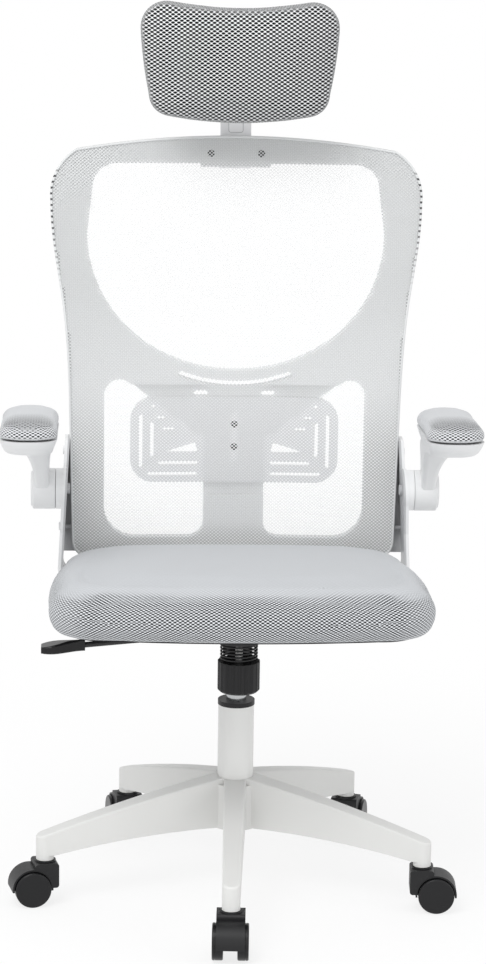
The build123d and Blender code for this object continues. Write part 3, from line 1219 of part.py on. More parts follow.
def pad_section(shift, up, wide, long, corner):
    """Section of pad or tray, along the slope of the pad's foot."""
    sloped = Pos(PAD_X, PAD_MID, PAD_BOTTOM) * Rot(-PAD_SLOPE, 0, 0)
    return sloped * Pos(0, shift, up) * RectangleRounded(wide, long, corner)


def arm():
    tray_w = 2 * (PAD_HALF_W - TRAY_INSET)
    tray_l = PAD_L - 2 * TRAY_INSET
    sections = [arm_section(BOSS_W / 2 + ARM_ROOT_SHIFT, 0, 0, BOSS_W - ARM_ROOT_DRAW, ARM_ROOT_L,
                            ARM_CORNER),
                arm_section(ARM_NECK_OUT, ARM_NECK_AHEAD, ARM_NECK_UP, ARM_NECK_W, ARM_NECK_L, ARM_CORNER),
                arm_section(ARM_SWELL_OUT, ARM_SWELL_AHEAD, ARM_SWELL_UP, ARM_SWELL_W, ARM_SWELL_L,
                            ARM_SWELL_CORNER),
                pad_section(TRAY_SHIFT, -AIR - TRAY_EDGE, tray_w - TRAY_DRAW_X, tray_l - TRAY_DRAW_Y,
                            PAD_ROUND - TRAY_SHIFT),
                pad_section(0, -AIR, tray_w, tray_l, PAD_ROUND - TRAY_INSET)]
    body = loft(sections)
    boss = crossbar(BOSS_R, BOSS_IN + BOSS_JOINT, BOSS_OUT, ARM_Y, ARM_Z)
    boss = fillet(boss.edges().filter_by(GeomType.CIRCLE), BOSS_EDGE)
    body += boss
    return body - crossbar(ARM_PIN_R + SNUG, BOSS_IN, BOSS_OUT, ARM_Y, ARM_Z)


def arm_pad():
    sections = []
    for share, draw in PAD_LEVELS:
        inset = draw * PAD_DRAW
        sections.append(pad_section(0, share * PAD_H, 2 * (PAD_HALF_W - inset), PAD_L - 2 * inset,
                                    PAD_ROUND - PAD_CORNER_DRAW * inset))
    return loft(sections)


def arm_pivot():
    head_seat = bracket_line(ARM_Z) - BRACKET_STEEL + SINK - RUN
    pin = crossbar(ARM_PIN_R, head_seat, BOSS_OUT, ARM_Y, ARM_Z)
    pin += crossbar(ARM_PIN_HEAD_R, head_seat - ARM_PIN_HEAD_T, head_seat, ARM_Y, ARM_Z)
    cap = crossbar(CAP_R, BOSS_OUT, BOSS_OUT + CAP_T, ARM_Y, ARM_Z)
    return [pin, fillet(cap.edges().filter_by(GeomType.CIRCLE).group_by(Axis.X)[-1], CAP_T / 2)]


def left_of(piece):
    return mirror(piece, about=Plane.YZ)


def model():
    """Every node of the chair with its solids."""
    nodes = {
        "star_base": [star_base()],
        "column_tube": [column_tube()],
        "column_bush": [column_bush()],
        "thrust_bearing": thrust_bearing(),
        "rod_clip": rod_clip(),
        "piston_rod": [piston_rod()],
        "gas_cylinder": [gas_cylinder()],
        "rod_guide": [rod_guide()],
        "release_pin": [release_pin()],
        "mech_housing": [mech_housing()],
        "taper_socket": [taper_socket()],
        "tilt_shaft": [tilt_shaft()],
        "tension_spring": [tension_spring()],
        "tension_bolt": [tension_bolt()],
        "tension_knob": [tension_knob()],
        "lift_lever": [lift_lever()],
        "lever_grip": [lever_grip()],
        "seat_plate": [seat_plate()],
        "seat_board": [seat_board()],
        "seat_cushion": [seat_cushion()],
        "seat_bolts": [upward_bolt(x, y, PLATE_BOTTOM) for x, y in seat_bolt_places()],
        "bracket_bolts": [upward_bolt(x, y, FOOT_BOTTOM) for x, y in foot_bolt_places()]
        + side_bolts(SIDE_BOLT_R, SIDE_HEAD_R),
        "back_frame": [back_frame()],
        "back_mesh": [back_mesh()],
        "lumbar_pad": [lumbar_pad()],
        "lumbar_screws": lumbar_screws(),
        "headrest_bracket": [headrest_bracket()],
        "headrest_screws": [head_screw(x, HEAD_SCREW_R, HEAD_SCREW_HEAD_R, HEAD_SCREW_HEAD_T)
                            for x in (-BRACKET_SCREW_X, BRACKET_SCREW_X)],
        "headrest_stem": [headrest_stem()],
        "headrest_pin": [headrest_pin()],
        "headrest_shell": [headrest_shell()],
        "headrest_cushion": [headrest_cushion()],
    }
    for name, piece in (("side_bracket", side_bracket()), ("arm", arm()), ("arm_pad", arm_pad())):
        nodes[name + "_right"] = [piece]
        nodes[name + "_left"] = [left_of(piece)]
    pivot = arm_pivot()
    nodes["arm_pivot_right"] = pivot
    nodes["arm_pivot_left"] = [left_of(piece) for piece in pivot]
    wheel = caster_wheel()
    caster = {"hood": [caster_hood()], "pins": caster_pins(), "wheel_a": [wheel],
              "wheel_b": [mirror(wheel, about=Plane.XZ)]}
    for index in range(LEG_COUNT):
        for name, pieces in caster.items():
            nodes[f"caster_{index + 1}_{name}"] = [at_leg_end(index, piece) for piece in pieces]
    return nodes


def write(name, pieces):
    solids = []
    for piece in pieces:
        solids += piece.solids()
    shape = solids[0] if len(solids) == 1 else Compound(children=solids)
    export_step(shape, f"parts/{name}.step")


os.makedirs("parts", exist_ok=True)
for node, node_pieces in model().items():
    write(node, node_pieces)

gap = spring_gap()
print(f"tension spring, least gap between turns: {gap:.2f} mm, wanted over {SPRING_GAP_LEAST} mm")
print("headrest pivot Y, Z:", [round(value, 3) for value in knuckle_place()])
print("tilt shaft, lever and arm pivots Z:", PIVOT_Z, LEVER_Z, ARM_Z)
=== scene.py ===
# %% [markdown]
# # A mesh-back task chair
# This lesson dresses the solids of a white and grey task chair. The rigid pieces keep their
# solid shapes and get finishes. The seat, the headrest, the arm pads and the mesh of the back
# are made again here as cloth, because cloth swells, sags and lets light through.

# %% Load the frame
import math

import bmesh
import bpy
import numpy as np
from mathutils import Matrix, Vector
from mathutils.bvhtree import BVHTree


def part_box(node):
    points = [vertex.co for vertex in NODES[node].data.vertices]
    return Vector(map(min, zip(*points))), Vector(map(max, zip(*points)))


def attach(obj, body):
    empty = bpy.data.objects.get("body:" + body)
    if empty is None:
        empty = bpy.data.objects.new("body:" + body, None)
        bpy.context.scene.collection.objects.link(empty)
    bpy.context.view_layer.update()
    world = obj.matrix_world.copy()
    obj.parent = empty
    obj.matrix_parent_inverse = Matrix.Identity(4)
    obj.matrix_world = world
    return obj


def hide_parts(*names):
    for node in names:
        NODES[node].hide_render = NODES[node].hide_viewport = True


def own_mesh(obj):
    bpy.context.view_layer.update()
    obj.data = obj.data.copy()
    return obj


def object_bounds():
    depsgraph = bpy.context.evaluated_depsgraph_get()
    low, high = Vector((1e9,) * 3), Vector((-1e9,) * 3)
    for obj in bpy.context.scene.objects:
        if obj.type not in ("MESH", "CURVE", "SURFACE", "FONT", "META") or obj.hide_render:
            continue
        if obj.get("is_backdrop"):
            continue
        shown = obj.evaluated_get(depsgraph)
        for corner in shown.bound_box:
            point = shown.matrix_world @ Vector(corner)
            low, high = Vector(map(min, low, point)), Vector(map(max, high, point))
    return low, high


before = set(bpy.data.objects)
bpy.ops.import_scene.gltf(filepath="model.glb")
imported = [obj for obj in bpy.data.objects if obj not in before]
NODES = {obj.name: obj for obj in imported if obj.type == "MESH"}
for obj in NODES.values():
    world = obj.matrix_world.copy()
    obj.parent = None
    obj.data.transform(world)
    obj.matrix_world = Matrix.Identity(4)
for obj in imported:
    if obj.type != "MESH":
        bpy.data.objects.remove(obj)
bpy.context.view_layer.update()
scene = bpy.context.scene
scene.view_settings.view_transform = "Standard"

# %% [markdown]
# ## The camera
# The chair was photographed from in front with a long lens, from 4.4 m away and a little above
# the headrest, so the seat's top is seen at a flat angle. The camera is turned a little to one
# side and rolled by about a degree. A matrix for each turn is easier to read than Euler angles.

# %% Camera
CAMERA_PLACE = Vector((0.0049, -4.3589, 1.5637))
CHAIR_YAW = math.radians(2.46)
CAMERA_PITCH = 0.2214
CAMERA_ROLL = 0.0147
FOCAL_PIXELS = 3250.3
IMAGE_LONG_SIDE = 964
SENSOR = 36.0
CLIP_END = 100

camera_data = bpy.data.cameras.new("view_camera")
camera_data.sensor_width = SENSOR
camera_data.lens = FOCAL_PIXELS / IMAGE_LONG_SIDE * SENSOR
camera_data.clip_end = CLIP_END
camera = bpy.data.objects.new("view_camera", camera_data)
scene.collection.objects.link(camera)
turn = Matrix.Rotation(-CHAIR_YAW, 4, "Z")
tilt = Matrix.Rotation(math.pi / 2 - CAMERA_PITCH, 4, "X")
roll = Matrix.Rotation(CAMERA_ROLL, 4, "Z")
camera.matrix_world = Matrix.Translation(turn @ CAMERA_PLACE) @ turn @ tilt @ roll
scene.camera = camera
print("lens", round(camera_data.lens, 2), "mm")

# %% [markdown]
# ## Light from all round
# A white studio is mostly one large soft light from all round. The world gives that, at a level
# where a colour renders about as it is written. What the camera sees of the world is plain
# white, and so is what shows in metal or through the net.

# %% World
WORLD_LEVEL = 0.80
WORLD_COLOUR = (0.99, 0.995, 1.0, 1.0)
PLAIN_WHITE = (1.0, 1.0, 1.0, 1.0)
OTHER_RAYS = ("Is Glossy Ray", "Is Transmission Ray")

world = bpy.data.worlds.new("studio")
scene.world = world
world.use_nodes = True
world_nodes = world.node_tree.nodes
world_links = world.node_tree.links
world_nodes.clear()
surround = world_nodes.new("ShaderNodeBackground")
surround.inputs["Color"].default_value = WORLD_COLOUR
surround.inputs["Strength"].default_value = WORLD_LEVEL
plain = world_nodes.new("ShaderNodeBackground")
plain.inputs["Color"].default_value = PLAIN_WHITE
plain.inputs["Strength"].default_value = 1.0
rays = world_nodes.new("ShaderNodeLightPath")
seen = rays.outputs["Is Camera Ray"]
for kind in OTHER_RAYS:
    either = world_nodes.new("ShaderNodeMath")
    either.operation = "MAXIMUM"
    world_links.new(seen, either.inputs[0])
    world_links.new(rays.outputs[kind], either.inputs[1])
    seen = either.outputs[0]
choose = world_nodes.new("ShaderNodeMixShader")
world_links.new(seen, choose.inputs["Fac"])
world_links.new(surround.outputs[0], choose.inputs[1])
world_links.new(plain.outputs[0], choose.inputs[2])
world_out = world_nodes.new("ShaderNodeOutputWorld")
world_links.new(choose.outputs[0], world_out.inputs["Surface"])
print("world level", WORLD_LEVEL)

# %% [markdown]
# ## Lamps and floor
# One wide lamp above the front adds the gentle fall of light from top to bottom, and two weak
# ones lift the side and the foot of the back. The floor is a plain square just under the wheels.

# %% Lamps
LAMPS = {
    "key_lamp": {"place": (-1.2, -2.0, 3.4), "aim": (0, 0, 0.6), "size": 2.2, "watts": 62.0},
    "fill_lamp": {"place": (2.6, -1.4, 1.6), "aim": (0, 0, 0.7), "size": 1.8, "watts": 8.0},
    "low_lamp": {"place": (0.2, -2.8, 0.7), "aim": (0, 0, 0.5), "size": 2.4, "watts": 6.0},
}


def soft_lamp(name, place, aim, size, watts):
    """A round area lamp turned to a place."""
    data = bpy.data.lights.new(name, "AREA")
    data.shape = "DISK"
    data.size = size
    data.energy = watts
    lamp = bpy.data.objects.new(name, data)
    lamp.location = place
    lamp.rotation_euler = (Vector(aim) - Vector(place)).to_track_quat("-Z", "Y").to_euler()
    scene.collection.objects.link(lamp)


for lamp_name, lamp_settings in LAMPS.items():
    soft_lamp(lamp_name, **lamp_settings)
print("lamps:", ", ".join(LAMPS))

# %% Floor
FLOOR_HALF = 9.0
FLOOR_DROP = 0.0006

floor_corners = [(x * FLOOR_HALF, y * FLOOR_HALF, -FLOOR_DROP)
                 for x, y in ((-1, -1), (1, -1), (1, 1), (-1, 1))]
floor_mesh = bpy.data.meshes.new("studio_floor")
floor_mesh.from_pydata(floor_corners, [], [(0, 1, 2, 3)])
floor = bpy.data.objects.new("studio_floor", floor_mesh)
scene.collection.objects.link(floor)
floor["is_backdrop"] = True
print("floor", 2 * FLOOR_HALF, "m wide")

# %% [markdown]
# ## Shader maths as plain expressions
# Patterns such as a staggered net are short formulas. A small class holds one output of a node,
# and each sign in a Python expression then adds a Math node. A second class holds a material and
# adds any other node.

# %% A socket with signs
class Signal:
    """One number or colour on its way through a material."""

    def __init__(self, finish, socket):
        self.finish = finish
        self.socket = socket

    def sign(self, operation, first, second):
        return self.finish.node("ShaderNodeMath", {"operation": operation}, {0: first, 1: second})

    def __add__(self, other):
        return self.sign("ADD", self, other)

    def __radd__(self, other):
        return self.sign("ADD", other, self)

    def __sub__(self, other):
        return self.sign("SUBTRACT", self, other)

    def __rsub__(self, other):
        return self.sign("SUBTRACT", other, self)

    def __mul__(self, other):
        return self.sign("MULTIPLY", self, other)

    def __rmul__(self, other):
        return self.sign("MULTIPLY", other, self)

    def __truediv__(self, other):
        return self.sign("DIVIDE", self, other)

    def __rtruediv__(self, other):
        return self.sign("DIVIDE", other, self)

    def __pow__(self, other):
        return self.sign("POWER", self, other)

    def __abs__(self):
        return self.most(self * -1.0)

    def least(self, other):
        return self.sign("MINIMUM", self, other)

    def most(self, other):
        return self.sign("MAXIMUM", self, other)

    def fraction(self):
        return self.sign("FRACT", self, 0.0)

    def root(self):
        return self.sign("SQRT", self, 0.0)

    def step(self, low, high):
        """Smooth step from 0 at low to 1 at high."""
        return self.finish.node("ShaderNodeMapRange", {"interpolation_type": "SMOOTHSTEP"},
                                {"Value": self, "From Min": low, "From Max": high})


# %% A finish
class Finish:
    """A material with one main shader and the nodes that feed it."""

    def __init__(self, name, **steady):
        self.material = bpy.data.materials.new(name)
        self.material.use_nodes = True
        self.tree = self.material.node_tree
        self.shader = self.tree.nodes["Principled BSDF"]
        for socket, value in steady.items():
            self.shader.inputs[socket.replace("_", " ")].default_value = value

    def node(self, kind, settings=None, inputs=None, output=0):
        made = self.tree.nodes.new(kind)
        for key, value in (settings or {}).items():
            setattr(made, key, value)
        for key, value in (inputs or {}).items():
            if isinstance(value, Signal):
                self.tree.links.new(value.socket, made.inputs[key])
            else:
                made.inputs[key].default_value = value
        return Signal(self, made.outputs[output])

    def feed(self, socket, signal):
        self.tree.links.new(signal.socket, self.shader.inputs[socket])

    def place(self):
        return self.node("ShaderNodeTexCoord", output="Object")

    def attribute(self, name):
        return self.node("ShaderNodeAttribute", {"attribute_name": name}, output="Vector")

    def split(self, vector):
        made = self.tree.nodes.new("ShaderNodeSeparateXYZ")
        self.tree.links.new(vector.socket, made.inputs[0])
        return [Signal(self, made.outputs[i]) for i in range(3)]

    def noise(self, vector, scale, detail=3.0, rough=0.5):
        return self.node("ShaderNodeTexNoise", {}, {"Vector": vector, "Scale": scale,
                                                    "Detail": detail, "Roughness": rough})

    def blend(self, factor, first, second):
        return self.node("ShaderNodeMix", {"data_type": "RGBA"}, {0: factor, 6: first, 7: second},
                         output=2)

    def bump(self, height, strength, distance):
        self.feed("Normal", self.node("ShaderNodeBump", {}, {"Strength": strength,
                                                            "Distance": distance,
                                                            "Height": height}))


def shade(colour, amount=1.0):
    """A colour made lighter or darker, with full alpha."""
    return tuple(min(1.0, channel * amount) for channel in colour) + (1.0,)


# %% [markdown]
# ## The floor's white
# The floor should vanish into the white of the background and still keep a little of the
# chair's shadow. For the camera it is therefore mostly plain white light near the chair and all
# white further off, and the rest is an ordinary matt surface.

# %% Floor finish
FLOOR_WHITE = 0.80
FLOOR_NEAR = 0.45
FLOOR_FAR = 1.30
FLOOR_DARK = (0.93, 0.93, 0.93)
FLOOR_LIGHT = (0.95, 0.95, 0.95)
FLOOR_CLOUD_SCALE = 0.8

floor_finish = Finish("studio_white", Roughness=0.9)
floor_cloud = floor_finish.noise(floor_finish.place(), FLOOR_CLOUD_SCALE, 1.0)
floor_finish.feed("Base Color", floor_finish.blend(floor_cloud, shade(FLOOR_DARK),
                                                   shade(FLOOR_LIGHT)))
floor_seen = floor_finish.node("ShaderNodeLightPath", output="Is Camera Ray")
for kind in OTHER_RAYS:
    floor_seen = floor_seen.most(floor_finish.node("ShaderNodeLightPath", output=kind))
floor_x, floor_y = floor_finish.split(floor_finish.place())[:2]
floor_far = (floor_x ** 2.0 + floor_y ** 2.0).root().step(FLOOR_NEAR, FLOOR_FAR)
floor_white = floor_seen * (FLOOR_WHITE + (1.0 - FLOOR_WHITE) * floor_far)
floor_glow = floor_finish.node("ShaderNodeEmission", {}, {"Color": PLAIN_WHITE, "Strength": 1.0})
floor_matt = Signal(floor_finish, floor_finish.shader.outputs[0])
floor_mix = floor_finish.node("ShaderNodeMixShader", {}, {0: floor_white, 1: floor_matt,
                                                         2: floor_glow})
floor_out = floor_finish.tree.nodes["Material Output"]
floor_finish.tree.links.new(floor_mix.socket, floor_out.inputs["Surface"])
floor.data.materials.append(floor_finish.material)
print("floor finished")

# %% [markdown]
# ## Moulded plastic, paint and metal
# The arms and base are white nylon with a satin grain that you feel more than see. A fine noise
# gives the grain, a coarse one the slight unevenness of gloss that moulded parts have, and a
# very slow one a touch of colour. The same recipe serves the black parts and the paint.

# %% Recipes
CLOUD_SCALE = 9.0
PATCH_SCALE = 42.0
GRAIN_DEPTH = 0.0004
ROUGH_SPREAD = 0.12
STREAK_SCALE = 60.0
STREAK_SMOOTHER = 0.05
STREAK_BUMP = 0.08
STREAK_DEPTH = 0.0002


def moulded(name, colour, rough, grain, grain_scale, tint=0.03, **steady):
    """Plastic or paint with a grain, uneven gloss and a slow tint."""
    finish = Finish(name, **steady)
    place = finish.place()
    cloudy = finish.noise(place, CLOUD_SCALE, 2.0)
    fine = finish.noise(place, grain_scale, 2.0, 0.6)
    patchy = finish.noise(place, PATCH_SCALE, 3.0)
    finish.feed("Base Color", finish.blend(cloudy, shade(colour, 1.0 - tint),
                                           shade(colour, 1.0 + tint)))
    finish.feed("Roughness", rough - ROUGH_SPREAD / 2 + ROUGH_SPREAD * patchy)
    finish.bump(fine, grain, GRAIN_DEPTH)
    return finish.material


def brushed(name, colour, rough, stretch):
    """Metal with fine lines along one direction."""
    finish = Finish(name, Metallic=1.0)
    lines = finish.node("ShaderNodeMapping", {}, {"Vector": finish.place(), "Scale": stretch})
    streak = finish.noise(lines, STREAK_SCALE, 4.0, 0.6)
    finish.feed("Base Color", finish.blend(streak, shade(colour, 0.9), shade(colour, 1.06)))
    finish.feed("Roughness", rough - STREAK_SMOOTHER + ROUGH_SPREAD * streak)
    finish.bump(streak, STREAK_BUMP, STREAK_DEPTH)
    return finish.material


# %% Plain finishes
WHITE = (0.735, 0.74, 0.745)

white_nylon = moulded("white_nylon", WHITE, 0.42, 0.10, 1500.0, Specular_IOR_Level=0.45)
base_nylon = moulded("base_nylon", (0.72, 0.72, 0.705), 0.42, 0.10, 1500.0,
                     Specular_IOR_Level=0.45)
white_paint = moulded("white_paint", (0.775, 0.775, 0.76), 0.34, 0.14, 700.0)
pale_plastic = moulded("pale_plastic", (0.70, 0.705, 0.715), 0.45, 0.10, 1400.0)
# The stem is white nylon, painted lighter than the other white parts as painted light against the
# headrest's shade.
lit_stem_nylon = moulded("lit_stem_nylon", (0.88, 0.88, 0.89), 0.40, 0.10, 1400.0)
black_plastic = moulded("black_plastic", (0.010, 0.010, 0.011), 0.45, 0.22, 1300.0, tint=0.15,
                        Specular_IOR_Level=0.35)
black_gloss = moulded("black_gloss", (0.008, 0.008, 0.009), 0.30, 0.08, 1100.0, tint=0.2,
                      Specular_IOR_Level=0.32)
black_paint = moulded("black_paint", (0.014, 0.014, 0.015), 0.48, 0.30, 900.0, tint=0.15)
dust_cover = moulded("dust_cover", (0.016, 0.016, 0.018), 0.90, 0.90, 420.0, tint=0.3)
chrome = brushed("chrome_plate", (0.50, 0.51, 0.52), 0.14, (1.0, 1.0, 0.05))
zinc = brushed("zinc_plate", (0.56, 0.56, 0.55), 0.36, (1.0, 1.0, 0.3))
print("plain finishes made")

# %% [markdown]
# ## The frame of the back and the brackets
# The frame of the back stands behind its net. Its colour carries painted shade: it is a little
# darker over the upper back, and darker still along the lower rails, where it falls away from the
# net and lies in its shade.
#
# The side brackets are white outside. On the face that is turned to the sitter they carry painted
# shade in grey, and so do the ends of the pivots and bolts that stick through them.

# %% Frame and bracket finishes
FRAME_SHADED_HIGH = (0.63, 0.638, 0.64)
FRAME_MIDDLE = (0.735, 0.743, 0.745)
FRAME_SHADED_FOOT = (0.54, 0.548, 0.55)
UPPER_ZONE = (0.66, 0.84)
SIDE_ZONE = (0.15, 0.19)
RAIL_END = (0.58, 0.68)
FOOT_ZONE = (0.455, 0.480)
BRACKET_FOOT_Z = 0.427
BRACKET_OUTER_X = 0.251
BRACKET_SLANT = 0.051
BRACKET_SHADE_EDGE = (0.0038, 0.0046)
BRACKET_INSIDE_SHADE = (0.46, 0.465, 0.475)


def painted_light_zones(finish, high, middle, foot):
    """Painted light and shade by place: one colour for the upper back, one for its middle and one
    for its lower rails.
    """
    x, z = finish.split(finish.place())[::2]
    upper = z.step(*UPPER_ZONE)
    side = abs(x).step(*SIDE_ZONE) * (1.0 - z.step(*RAIL_END))
    rails = side.most(1.0 - z.step(*FOOT_ZONE))
    return finish.blend(rails, finish.blend(upper, shade(middle), shade(high)), shade(foot))


frame_finish = Finish("frame_nylon", Roughness=0.5)
# Painted shade: the frame's white is darker over the upper back and darker still on the lower
# rails.
frame_finish.feed("Base Color", painted_light_zones(frame_finish, FRAME_SHADED_HIGH, FRAME_MIDDLE, FRAME_SHADED_FOOT))
frame_finish.bump(frame_finish.noise(frame_finish.place(), 1400.0, 2.0, 0.6), 0.10, GRAIN_DEPTH)
frame_nylon = frame_finish.material

bracket_finish = Finish("bracket_white_and_shade", Roughness=0.36)
bracket_place = bracket_finish.place()
bracket_x, bracket_z = bracket_finish.split(bracket_place)[::2]
outer_face = BRACKET_OUTER_X - (bracket_z - BRACKET_FOOT_Z) * BRACKET_SLANT
# Painted shade: the white is painted grey on the face turned to the sitter, and on bolt and pivot
# ends there.
inside_shade = (outer_face - abs(bracket_x)).step(*BRACKET_SHADE_EDGE)
bracket_grain = bracket_finish.noise(bracket_place, 800.0, 2.0)
bracket_white = bracket_finish.blend(bracket_grain, shade(WHITE, 1.04), shade(WHITE, 1.08))
bracket_finish.feed("Base Color", bracket_finish.blend(inside_shade, bracket_white,
                                                       shade(BRACKET_INSIDE_SHADE)))
bracket_finish.bump(bracket_grain, 0.12, GRAIN_DEPTH)
bracket_white_and_shade = bracket_finish.material
print("frame and bracket finishes made")

# %% Hand out the finishes
FINISH_OF = {
    "star_base": base_nylon, "column_tube": white_paint, "column_bush": black_plastic,
    "thrust_bearing": zinc, "piston_rod": zinc, "rod_clip": zinc, "gas_cylinder": chrome,
    "rod_guide": black_plastic, "release_pin": zinc, "mech_housing": black_paint,
    "taper_socket": black_paint, "tilt_shaft": zinc, "tension_spring": black_paint,
    "tension_bolt": zinc, "tension_knob": black_plastic, "lift_lever": black_paint,
    "lever_grip": black_gloss, "seat_plate": black_paint, "seat_board": dust_cover,
    "seat_bolts": zinc, "back_frame": frame_nylon, "lumbar_pad": pale_plastic,
    "lumbar_screws": black_paint, "headrest_bracket": frame_nylon,
    "headrest_screws": black_paint, "headrest_stem": lit_stem_nylon, "headrest_pin": zinc,
    "headrest_shell": frame_nylon, "bracket_bolts": bracket_white_and_shade,
}
for side in ("left", "right"):
    FINISH_OF["side_bracket_" + side] = bracket_white_and_shade
    FINISH_OF["arm_" + side] = white_nylon
    FINISH_OF["arm_pivot_" + side] = bracket_white_and_shade
for number in range(1, 6):
    FINISH_OF[f"caster_{number}_hood"] = black_plastic
    FINISH_OF[f"caster_{number}_pins"] = zinc
    for wheel in ("a", "b"):
        FINISH_OF[f"caster_{number}_wheel_{wheel}"] = black_gloss
for node, finish in FINISH_OF.items():
    NODES[node].data.materials.clear()
    NODES[node].data.materials.append(finish)
print("hard pieces finished:", len(FINISH_OF))

# %% [markdown]
# ## Cloth with holes
# The seat, arms and headrest wear a knitted spacer cloth: rows of oval holes, each row set half
# a step over. The pattern follows the cloth, so every soft piece carries its own coordinates in
# an attribute, in metres along the cloth. The holes are painted dark as the shade inside them.
# Where the cloth lies flat on top, less of that painted shade is put in, which a second
# attribute says.

# %% Spacer cloth
WANDER_SCALE = 120.0
WANDER_ALONG = 0.0006
WANDER_ACROSS = 0.0004
YARN_EDGE = (0.74, 1.16)
FUZZ_SCALE = 900.0
FUZZ_HEIGHT = 0.12
CLOTH_CLOUD_SCALE = 14.0
CLOTH_CLOUD = 0.35
RIM_LIGHT = 0.85
CLOTH_BUMP = 0.55
CLOTH_DEPTH = 0.0012


def staggered(along, across, step_along, step_across, half_along, half_across):
    """How far each place is from the nearest hole: 1 on the hole's rim."""
    near = []
    for shift in (0.0, 0.5):
        a = (along / step_along + shift).fraction() - 0.5
        b = (across / step_across + shift).fraction() - 0.5
        a = a * (step_along / half_along)
        b = b * (step_across / half_across)
        near.append((a ** 2.0 + b ** 2.0).root())
    return near[0].least(near[1])


def spacer_cloth(name, yarn, hole, face, step, row, half_wide, half_high, rim_light_lift):
    """Knitted cloth. face names the two axes of the pad's broad side, step and row part the
    holes, and the halves are of a hole. Round the rim the yarn is painted lighter, as painted
    light."""
    finish = Finish(name, Roughness=0.92, Sheen_Weight=0.18, Sheen_Roughness=0.5,
                    Specular_IOR_Level=0.2)
    place = finish.place()
    wander = finish.noise(place, WANDER_SCALE, 2.0) - 0.5
    round_it = finish.split(finish.attribute("cloth_place"))
    face_hole_shade, rim_light_and_shade = finish.split(finish.attribute("hole_shade_shown"))[:2]
    broad = finish.split(place)
    gap, web = 0.0, 0.0
    for along, across, shown in ((broad[face[0]], broad[face[1]], face_hole_shade),
                                 (round_it[0], round_it[1], rim_light_and_shade)):
        rim = staggered(along + wander * WANDER_ALONG, across + wander * WANDER_ACROSS,
                        step, row, half_wide, half_high)
        yarns = rim.step(*YARN_EDGE)
        gap = (1.0 - yarns) * shown + gap
        web = yarns * shown + web
    fuzz = finish.noise(place, FUZZ_SCALE, 3.0, 0.65)
    cloudy = finish.noise(place, CLOTH_CLOUD_SCALE, 2.0)
    light = finish.blend(fuzz, shade(yarn, 0.90), shade(yarn, 1.08))
    light = finish.blend(cloudy * CLOTH_CLOUD, light, shade(yarn, 0.93))
    # Painted light: round the rim the yarn is painted lighter.
    light = finish.blend(rim_light_and_shade * RIM_LIGHT, light, shade(yarn, rim_light_lift))
    # Painted shade: the holes are painted dark as the shade inside them, as far as the attribute
    # says.
    finish.feed("Base Color", finish.blend(gap.least(1.0), light, shade(hole)))
    finish.bump(web + FUZZ_HEIGHT * fuzz, CLOTH_BUMP, CLOTH_DEPTH)
    return finish.material


seat_cloth = spacer_cloth(
    "seat_cloth", yarn=(0.555, 0.570, 0.590), hole=(0.012, 0.0125, 0.014), face=(0, 1),
    step=0.0068, row=0.0050, half_wide=0.0023, half_high=0.0015, rim_light_lift=1.52)
headrest_cloth = spacer_cloth(
    "headrest_cloth", yarn=(0.86, 0.87, 0.88), hole=(0.004, 0.004, 0.0045), face=(0, 2),
    step=0.0082, row=0.0055, half_wide=0.0029, half_high=0.00172, rim_light_lift=1.0)
arm_cloth = spacer_cloth(
    "arm_cloth", yarn=(0.60, 0.61, 0.625), hole=(0.015, 0.0155, 0.017), face=(0, 1),
    step=0.0072, row=0.0050, half_wide=0.0021, half_high=0.00138, rim_light_lift=1.35)
print("spacer cloths made")

# %% [markdown]
# ## The net's cloth
# The net's yarn carries painted light: it is painted lighter where daylight comes through from
# behind than where it lies on the frame, and lighter towards the foot. Round its edge it is
# folded under, and there its holes are filled with painted shade.

# %% Open net
NET_STEP = 0.0054
NET_ROW = 0.0047
NET_HALF = 0.00168
NET_HALF_HIGH = 0.00146
NET_EDGE = (0.86, 1.06)
NET_FOLD_SHADE_OPAQUE = (0.3, 0.6)
NET_FUZZ_SCALE = 700.0
NET_FUZZ = 0.25
NET_BACKLIT_HIGH = (0.85, 0.855, 0.86)
NET_BACKLIT_LOW = (0.96, 0.965, 0.97)
NET_BACKED_HIGH = (0.68, 0.69, 0.692)
NET_BACKED_MIDDLE = (0.85, 0.858, 0.86)
NET_BACKED_FOOT = (0.93, 0.935, 0.935)
NET_FOLD_SHADE = (0.10, 0.10, 0.105)

net_cloth = Finish("back_net", Roughness=0.85, Specular_IOR_Level=0.25)
net_along, net_across = net_cloth.split(net_cloth.attribute("cloth_place"))[:2]
net_backed, net_fold_shade = net_cloth.split(net_cloth.attribute("net_behind"))[:2]
net_web = staggered(net_along, net_across, NET_STEP, NET_ROW, NET_HALF, NET_HALF_HIGH)
net_web = net_web.step(*NET_EDGE)
net_fuzz = net_cloth.noise(net_cloth.place(), NET_FUZZ_SCALE, 2.0)
# Painted light: the yarn is painted lighter where light comes through from behind, and lighter
# towards the foot.
backed_colour = painted_light_zones(net_cloth, NET_BACKED_HIGH, NET_BACKED_MIDDLE, NET_BACKED_FOOT)
backlit_colour = painted_light_zones(net_cloth, NET_BACKLIT_HIGH, NET_BACKLIT_LOW, NET_BACKLIT_LOW)
yarn_colour = net_cloth.blend(net_backed, backlit_colour, backed_colour)
yarn_colour = net_cloth.blend(net_fuzz * NET_FUZZ, yarn_colour, shade(NET_BACKED_HIGH, 0.95))
# Painted shade: along the folded edge the holes are filled in, opaque and dark.
net_cloth.feed("Base Color", net_cloth.blend((1.0 - net_web) * net_fold_shade, yarn_colour,
                                             shade(NET_FOLD_SHADE)))
net_cloth.feed("Alpha", net_web.most(net_fold_shade.step(*NET_FOLD_SHADE_OPAQUE)))
net_cloth.bump(net_web, 0.4, 0.0005)
print("net cloth made")

